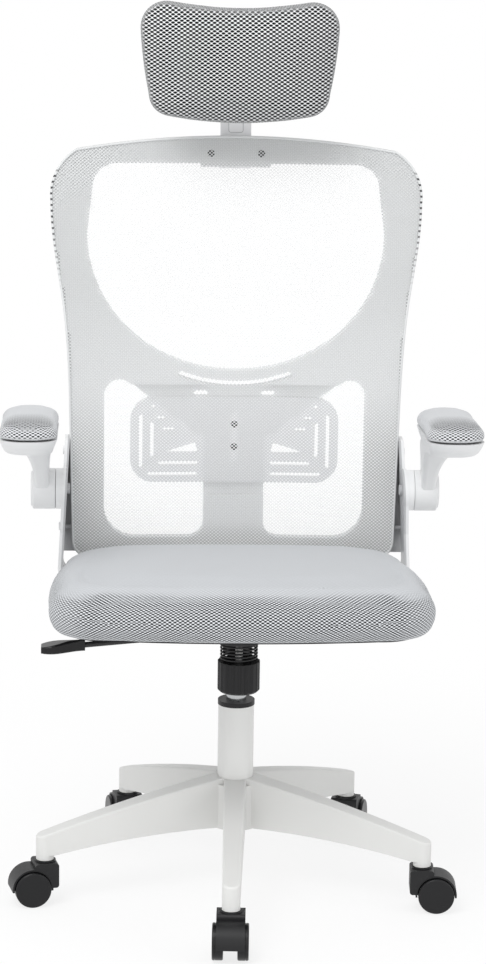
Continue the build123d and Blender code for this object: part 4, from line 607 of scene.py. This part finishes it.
# %% [markdown]
# ## Small helpers for meshes
# A few jobs come back for every piece: link an object, keep what its modifiers made, take a
# mesh out of bmesh, shade it smooth, write an attribute, and say which body it rides on.

# %% Mesh helpers
def add_object(name, mesh):
    made = bpy.data.objects.new(name, mesh)
    scene.collection.objects.link(made)
    return made


def baked(thing):
    """The evaluated shape of an object as a plain mesh."""
    bpy.context.view_layer.update()
    graph = bpy.context.evaluated_depsgraph_get()
    return bpy.data.meshes.new_from_object(thing.evaluated_get(graph), depsgraph=graph)


def joined_copy(node, near):
    """A solid's loose triangles joined where their corners meet."""
    build = bmesh.new()
    build.from_mesh(NODES[node].data)
    bmesh.ops.remove_doubles(build, verts=build.verts, dist=near)
    return build


def kept_mesh(build, name):
    """Turn a bmesh into a mesh and free it."""
    mesh = bpy.data.meshes.new(name)
    build.to_mesh(mesh)
    build.free()
    return mesh


def ray_target(node):
    """A solid's faces, ready to be met by rays."""
    mesh = NODES[node].data
    return BVHTree.FromPolygons([v.co[:] for v in mesh.vertices],
                                [p.vertices[:] for p in mesh.polygons])


def numbers_of(mesh, label):
    """One vector for each vertex, as rows."""
    flat = np.zeros(len(mesh.vertices) * 3)
    mesh.vertices.foreach_get(label, flat)
    return flat.reshape(-1, 3)


def write_vectors(mesh, label, rows):
    made = mesh.attributes.new(label, "FLOAT_VECTOR", "POINT")
    made.data.foreach_set("vector", np.array(rows).ravel())


def shade_smooth(mesh):
    mesh.polygons.foreach_set("use_smooth", [True] * len(mesh.polygons))


def dress(thing, body, node, finish):
    thing.data.materials.clear()
    thing.data.materials.append(finish)
    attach(thing, body)
    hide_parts(node)


# %% [markdown]
# ## Padded pieces
# A cushion starts from its solid, is meshed again in even squares and then blown up a little
# with the cloth solver, so that its flats crown and its edges draw in. How far a point may move
# is capped, and the moves are averaged between neighbours, which irons out small folds. Points
# that rest on a board or shell are pinned.

# %% Inflate a pad
JOIN_NEAR = 1e-5
SWELL_FRAMES = 16
SWELL_QUALITY = 4
SWELL_MASS = 0.3
EVEN_ROUNDS = 40


def remeshed(node, name, voxel, shrink):
    """A copy of a solid, drawn in a little and meshed in even squares."""
    build = joined_copy(node, JOIN_NEAR)
    bmesh.ops.recalc_face_normals(build, faces=build.faces)
    thing = add_object(name, kept_mesh(build, name + "_rough"))
    modifier = thing.modifiers.new("even", "REMESH")
    modifier.mode = "VOXEL"
    modifier.voxel_size = voxel
    even = baked(thing)
    thing.modifiers.clear()
    thing.data = even
    drawn_in = numbers_of(even, "co") - numbers_of(even, "normal") * shrink
    even.vertices.foreach_set("co", drawn_in.ravel())
    even.update()
    return thing


def evened(mesh, move, free):
    """Average each free point's move with its neighbours', so that no small folds are left."""
    ends = np.array([edge.vertices[:] for edge in mesh.edges])
    links = np.bincount(ends.ravel(), minlength=len(move))[:, None]
    for number in range(EVEN_ROUNDS):
        total = np.zeros_like(move)
        np.add.at(total, ends[:, 0], move[ends[:, 1]])
        np.add.at(total, ends[:, 1], move[ends[:, 0]])
        move = (move + total / links) / 2 * free
    return move


def inflate(thing, pinned, pressure, cap):
    """Blow the pad up with the cloth solver, no point moving further than the cap."""
    start = np.array([v.co for v in thing.data.vertices])
    held = [i for i, p in enumerate(start) if pinned(p)]
    group = thing.vertex_groups.new(name="held")
    group.add(held, 1.0, "REPLACE")
    cloth = thing.modifiers.new("swell", "CLOTH")
    cloth.settings.quality = SWELL_QUALITY
    cloth.settings.mass = SWELL_MASS
    cloth.settings.use_pressure = True
    cloth.settings.uniform_pressure_force = pressure
    cloth.settings.vertex_group_mass = "held"
    cloth.settings.effector_weights.gravity = 0.0
    cloth.collision_settings.use_collision = False
    cloth.point_cache.frame_start = 1
    cloth.point_cache.frame_end = SWELL_FRAMES
    for number in range(1, SWELL_FRAMES + 1):
        scene.frame_set(number)
        bpy.context.view_layer.update()
    swollen = baked(thing)
    move = np.array([v.co for v in swollen.vertices]) - start
    scene.frame_set(1)
    thing.modifiers.clear()
    reach = np.linalg.norm(move, axis=1, keepdims=True)
    move *= np.minimum(1.0, cap / np.maximum(reach, 1e-9))
    free = np.ones((len(start), 1))
    free[held] = 0.0
    move = evened(thing.data, move, free)
    thing.data.vertices.foreach_set("co", (start + move).ravel())
    thing.data.update()
    print(thing.name, "swelled by up to", round(float(reach.max()) * 1000, 1), "mm")


def smoothed(thing):
    """Round the squares off once and shade them smooth."""
    modifier = thing.modifiers.new("round", "SUBSURF")
    modifier.levels = 1
    modifier.render_levels = 1
    fine = baked(thing)
    thing.modifiers.clear()
    thing.vertex_groups.clear()
    thing.data = fine
    shade_smooth(fine)


def swollen_pad(node, name, voxel, drawn_in, pinned, pressure, cap):
    """A pad from its solid."""
    thing = remeshed(node, name, voxel, drawn_in)
    inflate(thing, pinned, pressure, cap)
    smoothed(thing)
    return thing


# %% [markdown]
# ## Laying the cloth
# On a pad's broad side the pattern is simply seen from above. Round its rim the cloth needs its
# own coordinates: how far one has walked round the pad, and how far down from the crown. Two
# more numbers say how much painted shade goes into the holes on the face, and how much painted
# shade and painted light go onto the rim.

# %% Lay the cloth
RING_PARTS = 360


def walk_round(plan):
    """How far round the pad each place is, and how far in from the pad's edge."""
    heading = np.arctan2(plan[:, 0], -plan[:, 1])
    reach = np.hypot(plan[:, 0], plan[:, 1])
    ring_at = np.linspace(-math.pi, math.pi, RING_PARTS + 1)
    nearest = np.digitize(heading, ring_at)
    ring = []
    for part in range(1, RING_PARTS + 1):
        here = reach[nearest == part]
        ring.append(here.max() if len(here) else 0.0)
    ring = np.interp(ring_at, (ring_at[:-1] + ring_at[1:]) / 2, ring)
    steps = np.hypot(np.diff(ring * np.sin(ring_at)), np.diff(ring * np.cos(ring_at)))
    walked = np.concatenate([[0.0], np.cumsum(steps)])
    walked -= np.interp(0.0, ring_at, walked)
    return np.interp(heading, ring_at, walked), np.interp(heading, ring_at, ring) - reach


def lay_cloth(thing, up, crown, face_hole_shade, rim_light_and_shade, flat_from=0.62, flat_at=0.97):
    """Write where the cloth lies on the rim, and how much painted shade and light it gets.
    up is the axis across the pad and crown the height of its broad side. The rim becomes face
    between the two cosines. The function for the face takes a place on the face, as shares of its
    half sizes, and the one for the rim takes the normal; on the rim that sets both the painted
    shade of the holes and the painted light of the yarn."""
    mesh = thing.data
    places = numbers_of(mesh, "co")
    normals = numbers_of(mesh, "normal")
    flat = [axis for axis in range(3) if axis != up]
    middle = (places.min(0) + places.max(0)) / 2
    plan = places[:, flat] - middle[flat]
    walked, inward = walk_round(plan)
    towards = np.sign(normals[:, up] * (crown - middle[up]))
    lie = np.zeros((len(places), 3))
    lie[:, 0] = walked
    lie[:, 1] = np.abs(places[:, up] - crown) - inward * towards
    facing = np.clip((np.abs(normals[:, up]) - flat_from) / (flat_at - flat_from), 0, 1)
    facing = facing * facing * (3 - 2 * facing)
    shares = plan / np.abs(plan).max(0) * (1, -1)
    shown = np.zeros((len(places), 3))
    shown[:, 0] = facing * np.array([face_hole_shade(*share) for share in shares])
    shown[:, 1] = (1.0 - facing) * np.array([rim_light_and_shade(*normal) for normal in normals])
    write_vectors(mesh, "cloth_place", lie)
    write_vectors(mesh, "hole_shade_shown", shown)


def full_hole_shade(*where):
    return 1.0


# %% [markdown]
# ## The seat
# The seat is one thick foam block under a single stretched cover. Its front is a rounded face
# where the holes of the cloth carry their full painted shade, and its top is flatter, gets little
# of it and looks smooth. The rim underneath is pulled over the board, so the underside is pinned.

# %% Seat cushion
SEAT_PINNED = 0.012
SEAT_TOP_HOLE_SHADE = 0.10
SEAT_SIDE_FADE = 0.3

seat_low, seat_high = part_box("seat_cushion")
seat = swollen_pad("seat_cushion", "seat_pad", voxel=0.0058, drawn_in=0.003,
                   pinned=lambda p: p[2] < seat_low.z + SEAT_PINNED, pressure=3.5, cap=0.007)
# Painted shade in the holes: little on the flat top, and less towards the sides of the rim, where
# the rim's painted light fades too.
lay_cloth(seat, 2, seat_high.z, lambda x, y: SEAT_TOP_HOLE_SHADE,
          lambda x, y, z: 1.0 - SEAT_SIDE_FADE * abs(x))
dress(seat, "seat", "seat_cushion", seat_cloth)
print("seat faces:", len(seat.data.polygons))

# %% [markdown]
# ## The headrest
# The headrest is a shaped pad with two lobes at the top. Every hole of its cloth is painted
# dark with shade, right round the rim.

# %% Headrest pad
HEADREST_PINNED = 0.006

head_low, head_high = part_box("headrest_cushion")
headrest = swollen_pad("headrest_cushion", "headrest_pad", voxel=0.0042, drawn_in=0.002,
                       pinned=lambda p: p[1] > head_high.y - HEADREST_PINNED,
                       pressure=3.0, cap=0.004)
# Painted shade fills every hole, on the face and round the rim.
lay_cloth(headrest, 1, head_low.y, full_hole_shade, full_hole_shade, flat_from=0.30, flat_at=0.60)
dress(headrest, "headrest", "headrest_cushion", headrest_cloth)
print("headrest faces:", len(headrest.data.polygons))

# %% [markdown]
# ## The arm pads
# Each arm carries a small domed pad. Over the rear half of the top its holes get little painted
# shade, so it looks smooth, and more towards the front end.

# %% Arm pads
ARM_PINNED = 0.005
ARM_TOP_HOLE_SHADE = 0.04
ARM_HOLE_SHADE_RISE = 1.6
ARM_HOLE_SHADE_FROM = 0.1
ARM_SIDE_LIGHT_AND_SHADE = 0.25
ARM_UNDERSIDE = -0.3


# Painted shade in the holes: little at the rear of the top, more towards the front end.
def arm_face_hole_shade(x, y):
    return min(1.0, max(ARM_TOP_HOLE_SHADE, ARM_HOLE_SHADE_RISE * y - ARM_HOLE_SHADE_FROM))


# Painted shade and painted light round the rim: least on the sides, most at the front, none
# underneath.
def arm_rim_light_and_shade(x, y, z):
    if z < ARM_UNDERSIDE:
        return 0.0
    return ARM_SIDE_LIGHT_AND_SHADE + (1.0 - ARM_SIDE_LIGHT_AND_SHADE) * max(0.0, -y) ** 0.5


for side in ("left", "right"):
    pad_low, pad_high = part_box("arm_pad_" + side)
    pad = swollen_pad("arm_pad_" + side, "arm_cushion_" + side, voxel=0.0036, drawn_in=0.0012,
                      pinned=lambda p: p[2] < pad_low.z + ARM_PINNED, pressure=3.0, cap=0.003)
    lay_cloth(pad, 2, pad_high.z, arm_face_hole_shade, arm_rim_light_and_shade)
    dress(pad, "arm_" + side, "arm_pad_" + side, arm_cloth)
    print(pad.name, "faces:", len(pad.data.polygons))

# %% [markdown]
# ## The outline of the back
# The back is an open net stretched over the frame. It is one sheet: its outline is drawn in
# front view, cut into squares and then laid on the curved front of the frame. The outline is a
# straight foot with round corners, a side that flares from the waist up, and arcs over the top.

# %% Curves for the outline
def near_angle(angle, other):
    """The same direction, written within half a turn of the other angle."""
    return other + (angle - other + math.pi) % (2 * math.pi) - math.pi


def three_point_arc(first, middle, last, count):
    """Points along the arc through three points, without the last."""
    (ax, ay), (bx, by), (cx, cy) = first, middle, last
    d = 2 * (ax * (by - cy) + bx * (cy - ay) + cx * (ay - by))
    a2, b2, c2 = ax * ax + ay * ay, bx * bx + by * by, cx * cx + cy * cy
    ux = (a2 * (by - cy) + b2 * (cy - ay) + c2 * (ay - by)) / d
    uy = (a2 * (cx - bx) + b2 * (ax - cx) + c2 * (bx - ax)) / d
    start, mid, stop = (math.atan2(y - uy, x - ux) for x, y in (first, middle, last))
    radius = math.hypot(ax - ux, ay - uy)
    stop = near_angle(stop, near_angle(mid, start))
    angles = [start + (stop - start) * i / count for i in range(count)]
    return [(ux + radius * math.cos(angle), uy + radius * math.sin(angle)) for angle in angles]


def smooth_between(start, slope, end, end_slope, share):
    """A cubic from start to end with a given slope at each."""
    rest = 1 - share
    return ((1 + 2 * share) * rest * rest * start + share * rest * rest * slope
            + share * share * (3 - 2 * share) * end - share * share * rest * end_slope)


# %% Outline
BACK_FOOT = 0.427
FOOT_HALF = 0.2305
FOOT_ROUND = 0.026
WAIST = (0.2340, 0.613)
FLARE = (0.2447, 0.796)
WIDEST = (0.2625, 0.937)
CORNER = (0.2541, 0.981)
TOP_END = (0.2275, 1.008)
TOP_MIDDLE = (0.0, 1.026)
FOOT_PARTS = 8
FLARE_PARTS = 20
CORNER_PARTS = 10
TOP_PARTS = 24


def flared(z):
    """Half width between waist and widest place: two cubics that meet without a kink."""
    low, high = FLARE[1] - WAIST[1], WIDEST[1] - FLARE[1]
    first = (WAIST[0] - FOOT_HALF) / (WAIST[1] - BACK_FOOT)
    rises = (FLARE[0] - WAIST[0]) / low ** 2 + (WIDEST[0] - FLARE[0]) / high ** 2
    middle = (3 * rises - first / low) / (2 / low + 2 / high)
    if z < FLARE[1]:
        share = (z - WAIST[1]) / low
        return smooth_between(WAIST[0], first * low, FLARE[0], middle * low, share)
    return smooth_between(FLARE[0], middle * high, WIDEST[0], 0.0, (z - FLARE[1]) / high)


def back_outline():
    """Right half from the foot to the top middle, then mirrored."""
    half = [(0.0, BACK_FOOT)]
    for i in range(FOOT_PARTS + 1):
        angle = -math.pi / 2 + math.pi / 2 * i / FOOT_PARTS
        half.append((FOOT_HALF - FOOT_ROUND + FOOT_ROUND * math.cos(angle),
                     BACK_FOOT + FOOT_ROUND + FOOT_ROUND * math.sin(angle)))
    rise = np.linspace(WAIST[1], WIDEST[1], FLARE_PARTS, endpoint=False)
    half += [(flared(z), z) for z in rise]
    half += three_point_arc(WIDEST, CORNER, TOP_END, CORNER_PARTS)
    other_end = (-TOP_END[0], TOP_END[1])
    half += three_point_arc(TOP_END, TOP_MIDDLE, other_end, TOP_PARTS)[:TOP_PARTS // 2]
    left = [(-x, z) for x, z in reversed(half) if x > 1e-6]
    return half + [TOP_MIDDLE] + left


outline = back_outline()
print("outline points:", len(outline))

# %% [markdown]
# ## The net of the back
# The front of the frame is upright at the foot, bends over an arc and leans back above it, and
# it is hollow from side to side. The sheet lies just ahead of it. Holes are left to the
# material's alpha, because thousands of real holes would be far too many faces. A ray from each
# point tells whether the frame is behind it.

# %% Front of the frame
BACK_CURVE = 1.960
BACK_FRONT = 0.205
BEND_Z = 0.695
BEND_R = 0.450
LEAN = math.radians(13.0)
BEND_END_Z = BEND_Z + BEND_R * math.sin(LEAN)
BEND_END_Y = BACK_FRONT + BEND_R * (1 - math.cos(LEAN))
NET_AHEAD = 0.0016


def back_surface(x, z, ahead):
    """Place on the front of the frame, a little ahead of it."""
    if z <= BEND_Z:
        lean = 0.0
        y = BACK_FRONT
    elif z <= BEND_END_Z:
        lean = math.asin((z - BEND_Z) / BEND_R)
        y = BACK_FRONT + BEND_R * (1 - math.cos(lean))
    else:
        lean = LEAN
        y = BEND_END_Y + (z - BEND_END_Z) * math.tan(LEAN)
    hollow = BACK_CURVE - math.sqrt(BACK_CURVE * BACK_CURVE - x * x)
    return Vector((x, y - (hollow + ahead) / math.cos(lean), z))


# %% Net sheet
NET_CELL = 0.008
NET_CUT_HALF = 0.256
NET_CUT_NEAR = 1e-6
WALK_STEP = 0.001
WALK_BELOW = 0.002
WALK_ABOVE = 0.004
FOLD_LOW_Z = 0.62
FOLD_HIGH_Z = 0.90
RAY_BEFORE = 0.02
RAY_LONG = 0.06
BACKWARD = Vector((0, 1, 0))

build = bmesh.new()
build.faces.new([build.verts.new((x, 0, z)) for x, z in outline])
across_cuts = np.arange(-NET_CUT_HALF, NET_CUT_HALF + NET_CELL / 8, NET_CELL)
upward_cuts = np.arange(BACK_FOOT + NET_CELL, TOP_MIDDLE[1], NET_CELL)
cuts = [((place, 0, 0), (1, 0, 0)) for place in across_cuts]
cuts += [((0, 0, place), (0, 0, 1)) for place in upward_cuts]
for place, facing in cuts:
    everything = build.verts[:] + build.edges[:] + build.faces[:]
    bmesh.ops.bisect_plane(build, geom=everything, dist=NET_CUT_NEAR, plane_co=place,
                           plane_no=facing)

heights = np.arange(BACK_FOOT - WALK_BELOW, TOP_MIDDLE[1] + WALK_ABOVE, WALK_STEP)
lengths = [0.0]
for low, high in zip(heights[:-1], heights[1:]):
    lengths.append(lengths[-1] + (back_surface(0, high, 0) - back_surface(0, low, 0)).length)

frame_target = ray_target("back_frame")
net_lie_at, net_behind_at = [], []
for vert in build.verts:
    x, z = vert.co.x, vert.co.z
    net_lie_at.append((x, float(np.interp(z, heights, lengths)), 0.0))
    vert.co = back_surface(x, z, NET_AHEAD)
    met = frame_target.ray_cast(vert.co - RAY_BEFORE * BACKWARD, BACKWARD, RAY_LONG)[0]
    backed = met is not None or vert.is_boundary
    # The folded edge up the sides is marked here for painted shade in its holes.
    fold_shaded = vert.is_boundary and FOLD_LOW_Z < z < FOLD_HIGH_Z
    net_behind_at.append((float(backed), float(fold_shaded), 0.0))
print("net points:", len(net_lie_at))

# %% Net object
bmesh.ops.recalc_face_normals(build, faces=build.faces)
if sum(face.normal.y * face.calc_area() for face in build.faces) > 0:
    bmesh.ops.reverse_faces(build, faces=build.faces)
net_area = sum(face.calc_area() for face in build.faces)
net_mesh = kept_mesh(build, "back_net")
write_vectors(net_mesh, "cloth_place", net_lie_at)
write_vectors(net_mesh, "net_behind", net_behind_at)
shade_smooth(net_mesh)
net = add_object("back_net", net_mesh)
dress(net, "seat", "back_mesh", net_cloth.material)
print("net area", round(net_area, 4), "faces", len(net_mesh.polygons))

# %% [markdown]
# ## Trees of Geometry Nodes
# Things that follow a path or repeat are made by Geometry Nodes. One helper starts a tree with
# named inputs, a small class chains nodes one after another, and another helper runs the tree on
# a closed path and keeps the result as a plain mesh.

# %% Tree helpers
def node_tree(name, inputs):
    """A geometry tree with named inputs, and its group nodes."""
    tree = bpy.data.node_groups.new(name, "GeometryNodeTree")
    tree.interface.new_socket("Geometry", in_out="INPUT", socket_type="NodeSocketGeometry")
    for label, kind, value in inputs:
        socket = tree.interface.new_socket(label, in_out="INPUT", socket_type=kind)
        socket.default_value = value
    tree.interface.new_socket("Geometry", in_out="OUTPUT", socket_type="NodeSocketGeometry")
    return tree, tree.nodes.new("NodeGroupInput"), tree.nodes.new("NodeGroupOutput")


class Steps:
    """Adds geometry nodes one after another and keeps the last one's output."""

    def __init__(self, tree, socket=None):
        self.tree = tree
        self.socket = socket

    def then(self, kind, inputs=None, settings=None, enter=0):
        made = self.tree.nodes.new(kind)
        for key, value in (settings or {}).items():
            setattr(made, key, value)
        for key, value in (inputs or {}).items():
            if isinstance(value, bpy.types.NodeSocket):
                self.tree.links.new(value, made.inputs[key])
            else:
                made.inputs[key].default_value = value
        if self.socket is not None:
            self.tree.links.new(self.socket, made.inputs[enter])
        return Steps(self.tree, made.outputs[0])


def run_on_path(name, points, tree, values, finish):
    """Run a tree on a closed path with these inputs, and keep the result as a plain mesh."""
    path = bpy.data.meshes.new(name)
    path.from_pydata(points, [(i, (i + 1) % len(points)) for i in range(len(points))], [])
    thing = add_object(name, path)
    modifier = thing.modifiers.new("make", "NODES")
    modifier.node_group = tree
    for item in tree.interface.items_tree:
        if item.item_type == "SOCKET" and item.in_out == "INPUT" and item.name in values:
            modifier[item.identifier] = values[item.name]
    mesh = baked(thing)
    bpy.data.objects.remove(thing)
    mesh.materials.clear()
    mesh.materials.append(finish)
    return add_object(name, mesh)


# %% [markdown]
# ## The welt round the net
# The net's edge is pressed into a groove round the frame by a thin cord. A cord that follows an
# outline is a good first use of Geometry Nodes: a curve, a round profile and Curve to Mesh. Up
# the sides the last row of holes runs over the cord, and their shade is painted on it as a line
# of dark dashes. Elsewhere the cord takes the net's darker colour over the upper frame.

# %% Welt finish
DASH_STEP = 0.0080
DASH_EDGE = (0.14, 0.22)
DASH_STARTS = (0.80, 0.92)
DASH_ENDS = (0.975, 0.985)

welt_finish = Finish("welt_cord", Roughness=0.6)
welt_z = welt_finish.split(welt_finish.place())[2]
welt_beat = (welt_z / DASH_STEP).fraction() - 0.5
welt_dash_shade = 1.0 - abs(welt_beat).step(*DASH_EDGE)
welt_dash_shade = welt_dash_shade * welt_z.step(*DASH_STARTS) * (1.0 - welt_z.step(*DASH_ENDS))
# Painted shade: dark dashes where the holes of the net lie over the cord.
welt_finish.feed("Base Color", welt_finish.blend(welt_dash_shade, shade(NET_BACKED_HIGH),
                                                 shade(NET_FOLD_SHADE, 0.6)))
print("welt finish made")

# %% Welt
WELT_R = 0.0016
WELT_SIDES = 8

welt_tree, welt_in, welt_out = node_tree("welt", [("Thickness", "NodeSocketFloat", WELT_R),
                                                  ("Sides", "NodeSocketInt", WELT_SIDES)])
profile = Steps(welt_tree).then("GeometryNodeCurvePrimitiveCircle",
                                {"Resolution": welt_in.outputs["Sides"],
                                 "Radius": welt_in.outputs["Thickness"]})
cord = Steps(welt_tree, welt_in.outputs["Geometry"]).then("GeometryNodeMeshToCurve")
cord = cord.then("GeometryNodeCurveToMesh", {"Profile Curve": profile.socket})
cord = cord.then("GeometryNodeSetShadeSmooth").then("GeometryNodeRealizeInstances")
cord = cord.then("GeometryNodeSetMaterial", {"Material": welt_finish.material})
welt_tree.links.new(cord.socket, welt_out.inputs["Geometry"])
welt_path = [back_surface(x, z, NET_AHEAD) for x, z in outline]
welt = run_on_path("back_welt", welt_path, welt_tree,
                   {"Thickness": WELT_R, "Sides": WELT_SIDES}, welt_finish.material)
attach(welt, "seat")
print("welt faces:", len(welt.data.polygons))

# %% [markdown]
# ## The button on the stem
# A small rounded button on the front of the headrest's stem frees its height. It lies almost
# flush, so that it slides behind the back, and only the gap round it shows. Two thin plates do
# for that, set on the stem where a ray from the front meets it. The outer plate is painted grey
# as the shade in the gap.

# %% Stem button
BUTTON_Z = 1.0385
BUTTON_WIDE = 0.0215
BUTTON_HIGH = 0.0185
BUTTON_ROUND = 0.0036
BUTTON_GAP = 0.0009
BUTTON_PROUD = 0.00024
ROUND_PARTS = 6
RAY_START = Vector((0.004, -1, BUTTON_Z))

button_at, button_out = ray_target("headrest_stem").ray_cast(RAY_START, BACKWARD)[:2]
button_at.x = 0.0
button_facing = button_out.to_track_quat("-Y", "Z").to_matrix().to_4x4()
button_turn = Matrix.Translation(button_at) @ button_facing


def rounded_plate(build, wide, high, corner, proud, slot):
    """A thin plate with round corners, half sunk, in one of the object's materials."""
    ring = []
    for sign_x, sign_z, begin in ((1, 1, 0.0), (-1, 1, 0.5), (-1, -1, 1.0), (1, -1, 1.5)):
        for i in range(ROUND_PARTS + 1):
            angle = math.pi * (begin + i / ROUND_PARTS / 2)
            ring.append((sign_x * (wide / 2 - corner) + corner * math.cos(angle),
                         sign_z * (high / 2 - corner) + corner * math.sin(angle)))
    front, rear = ([build.verts.new(button_turn @ Vector((x, y, z))) for x, z in ring]
                   for y in (-proud, proud))
    faces = [build.faces.new(front), build.faces.new(rear)]
    for i in range(len(ring)):
        after = (i + 1) % len(ring)
        faces.append(build.faces.new((front[i], front[after], rear[after], rear[i])))
    for face in faces:
        face.material_index = slot


# Painted shade: the grey outer plate stands for the shade in the gap round the button.
gap_shade = moulded("button_gap_shade", (0.46, 0.46, 0.47), 0.6, 0.10, 1400.0)
build = bmesh.new()
rounded_plate(build, BUTTON_WIDE, BUTTON_HIGH, BUTTON_ROUND, BUTTON_PROUD / 2, 0)
rounded_plate(build, BUTTON_WIDE - 2 * BUTTON_GAP, BUTTON_HIGH - 2 * BUTTON_GAP,
              BUTTON_ROUND - BUTTON_GAP, BUTTON_PROUD, 1)
bmesh.ops.recalc_face_normals(build, faces=build.faces)
button_mesh = kept_mesh(build, "stem_button")
button_mesh.materials.append(gap_shade)
button_mesh.materials.append(lit_stem_nylon)
button = add_object("stem_button", button_mesh)
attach(button, "headrest_post")
print("stem button at", [round(v, 4) for v in button_at], "faces", len(button_mesh.polygons))

# %% [markdown]
# ## Staples under the seat
# The cover is pulled under the seat and stapled to the board. The staples stand in a row along
# the board's edge, each one turned to lie along the row, so the tree spreads points along a
# path and sets one short wire on each.

# %% Staple tree
STAPLE_STEP = 0.028
STAPLE_LONG = 0.010
STAPLE_WIRE = 0.0006

staple_tree, staple_in, staple_out = node_tree("staples", [
    ("Spacing", "NodeSocketFloat", STAPLE_STEP), ("Length", "NodeSocketFloat", STAPLE_LONG),
    ("Wire", "NodeSocketFloat", STAPLE_WIRE)])
given = staple_in.outputs
row = Steps(staple_tree, given["Geometry"]).then("GeometryNodeMeshToCurve")
row = row.then("GeometryNodeResampleCurve", {"Length": given["Spacing"]}, {"mode": "LENGTH"})
along = Steps(staple_tree).then("GeometryNodeInputTangent")
along = along.then("FunctionNodeAlignRotationToVector", {}, {"axis": "X"}, enter="Vector")
size = Steps(staple_tree).then("ShaderNodeCombineXYZ", {0: given["Length"], 1: given["Wire"],
                                                       2: given["Wire"]})
wire = Steps(staple_tree).then("GeometryNodeMeshCube", {"Size": size.socket})
row = row.then("GeometryNodeInstanceOnPoints", {"Instance": wire.socket,
                                                "Rotation": along.socket})
row = row.then("GeometryNodeRealizeInstances").then("GeometryNodeSetMaterial", {"Material": zinc})
staple_tree.links.new(row.socket, staple_out.inputs["Geometry"])
print("staple tree nodes:", len(staple_tree.nodes))

# %% Staples
STAPLE_IN = 0.012
STAPLE_DRAW = 0.97
STAPLE_PATH_PARTS = 72
BOARD_SQUARE = 5

board_low, board_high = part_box("seat_board")
board_mid = (board_low + board_high) / 2
reach_x = board_high.x - board_mid.x - STAPLE_IN
reach_y = board_high.y - board_mid.y - STAPLE_IN
staple_path = []
for i in range(STAPLE_PATH_PARTS):
    angle = 2 * math.pi * i / STAPLE_PATH_PARTS
    along_x, along_y = math.cos(angle), math.sin(angle)
    out = (abs(along_x) ** BOARD_SQUARE + abs(along_y) ** BOARD_SQUARE) ** (-1 / BOARD_SQUARE)
    staple_path.append((board_mid.x + reach_x * out * along_x * STAPLE_DRAW,
                        board_mid.y + reach_y * out * along_y * STAPLE_DRAW,
                        board_low.z - STAPLE_WIRE / 2))
staples = run_on_path("seat_staples", staple_path, staple_tree, {"Spacing": STAPLE_STEP}, zinc)
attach(staples, "seat")
print("staples:", len(staples.data.polygons) // 6)

# %% [markdown]
# ## The tilt spring
# When the seat leans back, the knob is drawn up and presses the spring together. Its top stays
# where it is. The spring is drawn as a copy of the solid, hung on the chassis and shaded
# smooth, and the copy's loose triangles are joined first.

# %% Tilt spring
SPRING_JOIN_NEAR = 1e-6
SPRING_SHARP = math.radians(40)

spring_mesh = kept_mesh(joined_copy("tension_spring", SPRING_JOIN_NEAR), "tilt_spring")
shade_smooth(spring_mesh)
spring_mesh.set_sharp_from_angle(angle=SPRING_SHARP)
spring = add_object("tilt_spring", spring_mesh)
dress(spring, "chassis", "tension_spring", black_paint)
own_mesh(spring)
print("tilt spring faces:", len(spring_mesh.polygons))

# %% [markdown]
# ## Size of the dressed chair
# The box round the dressed chair is printed. The dressed chair must keep to the box of the
# solids.

# %% Boxes
low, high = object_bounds()
print("visual box", [round(v, 4) for v in high - low])
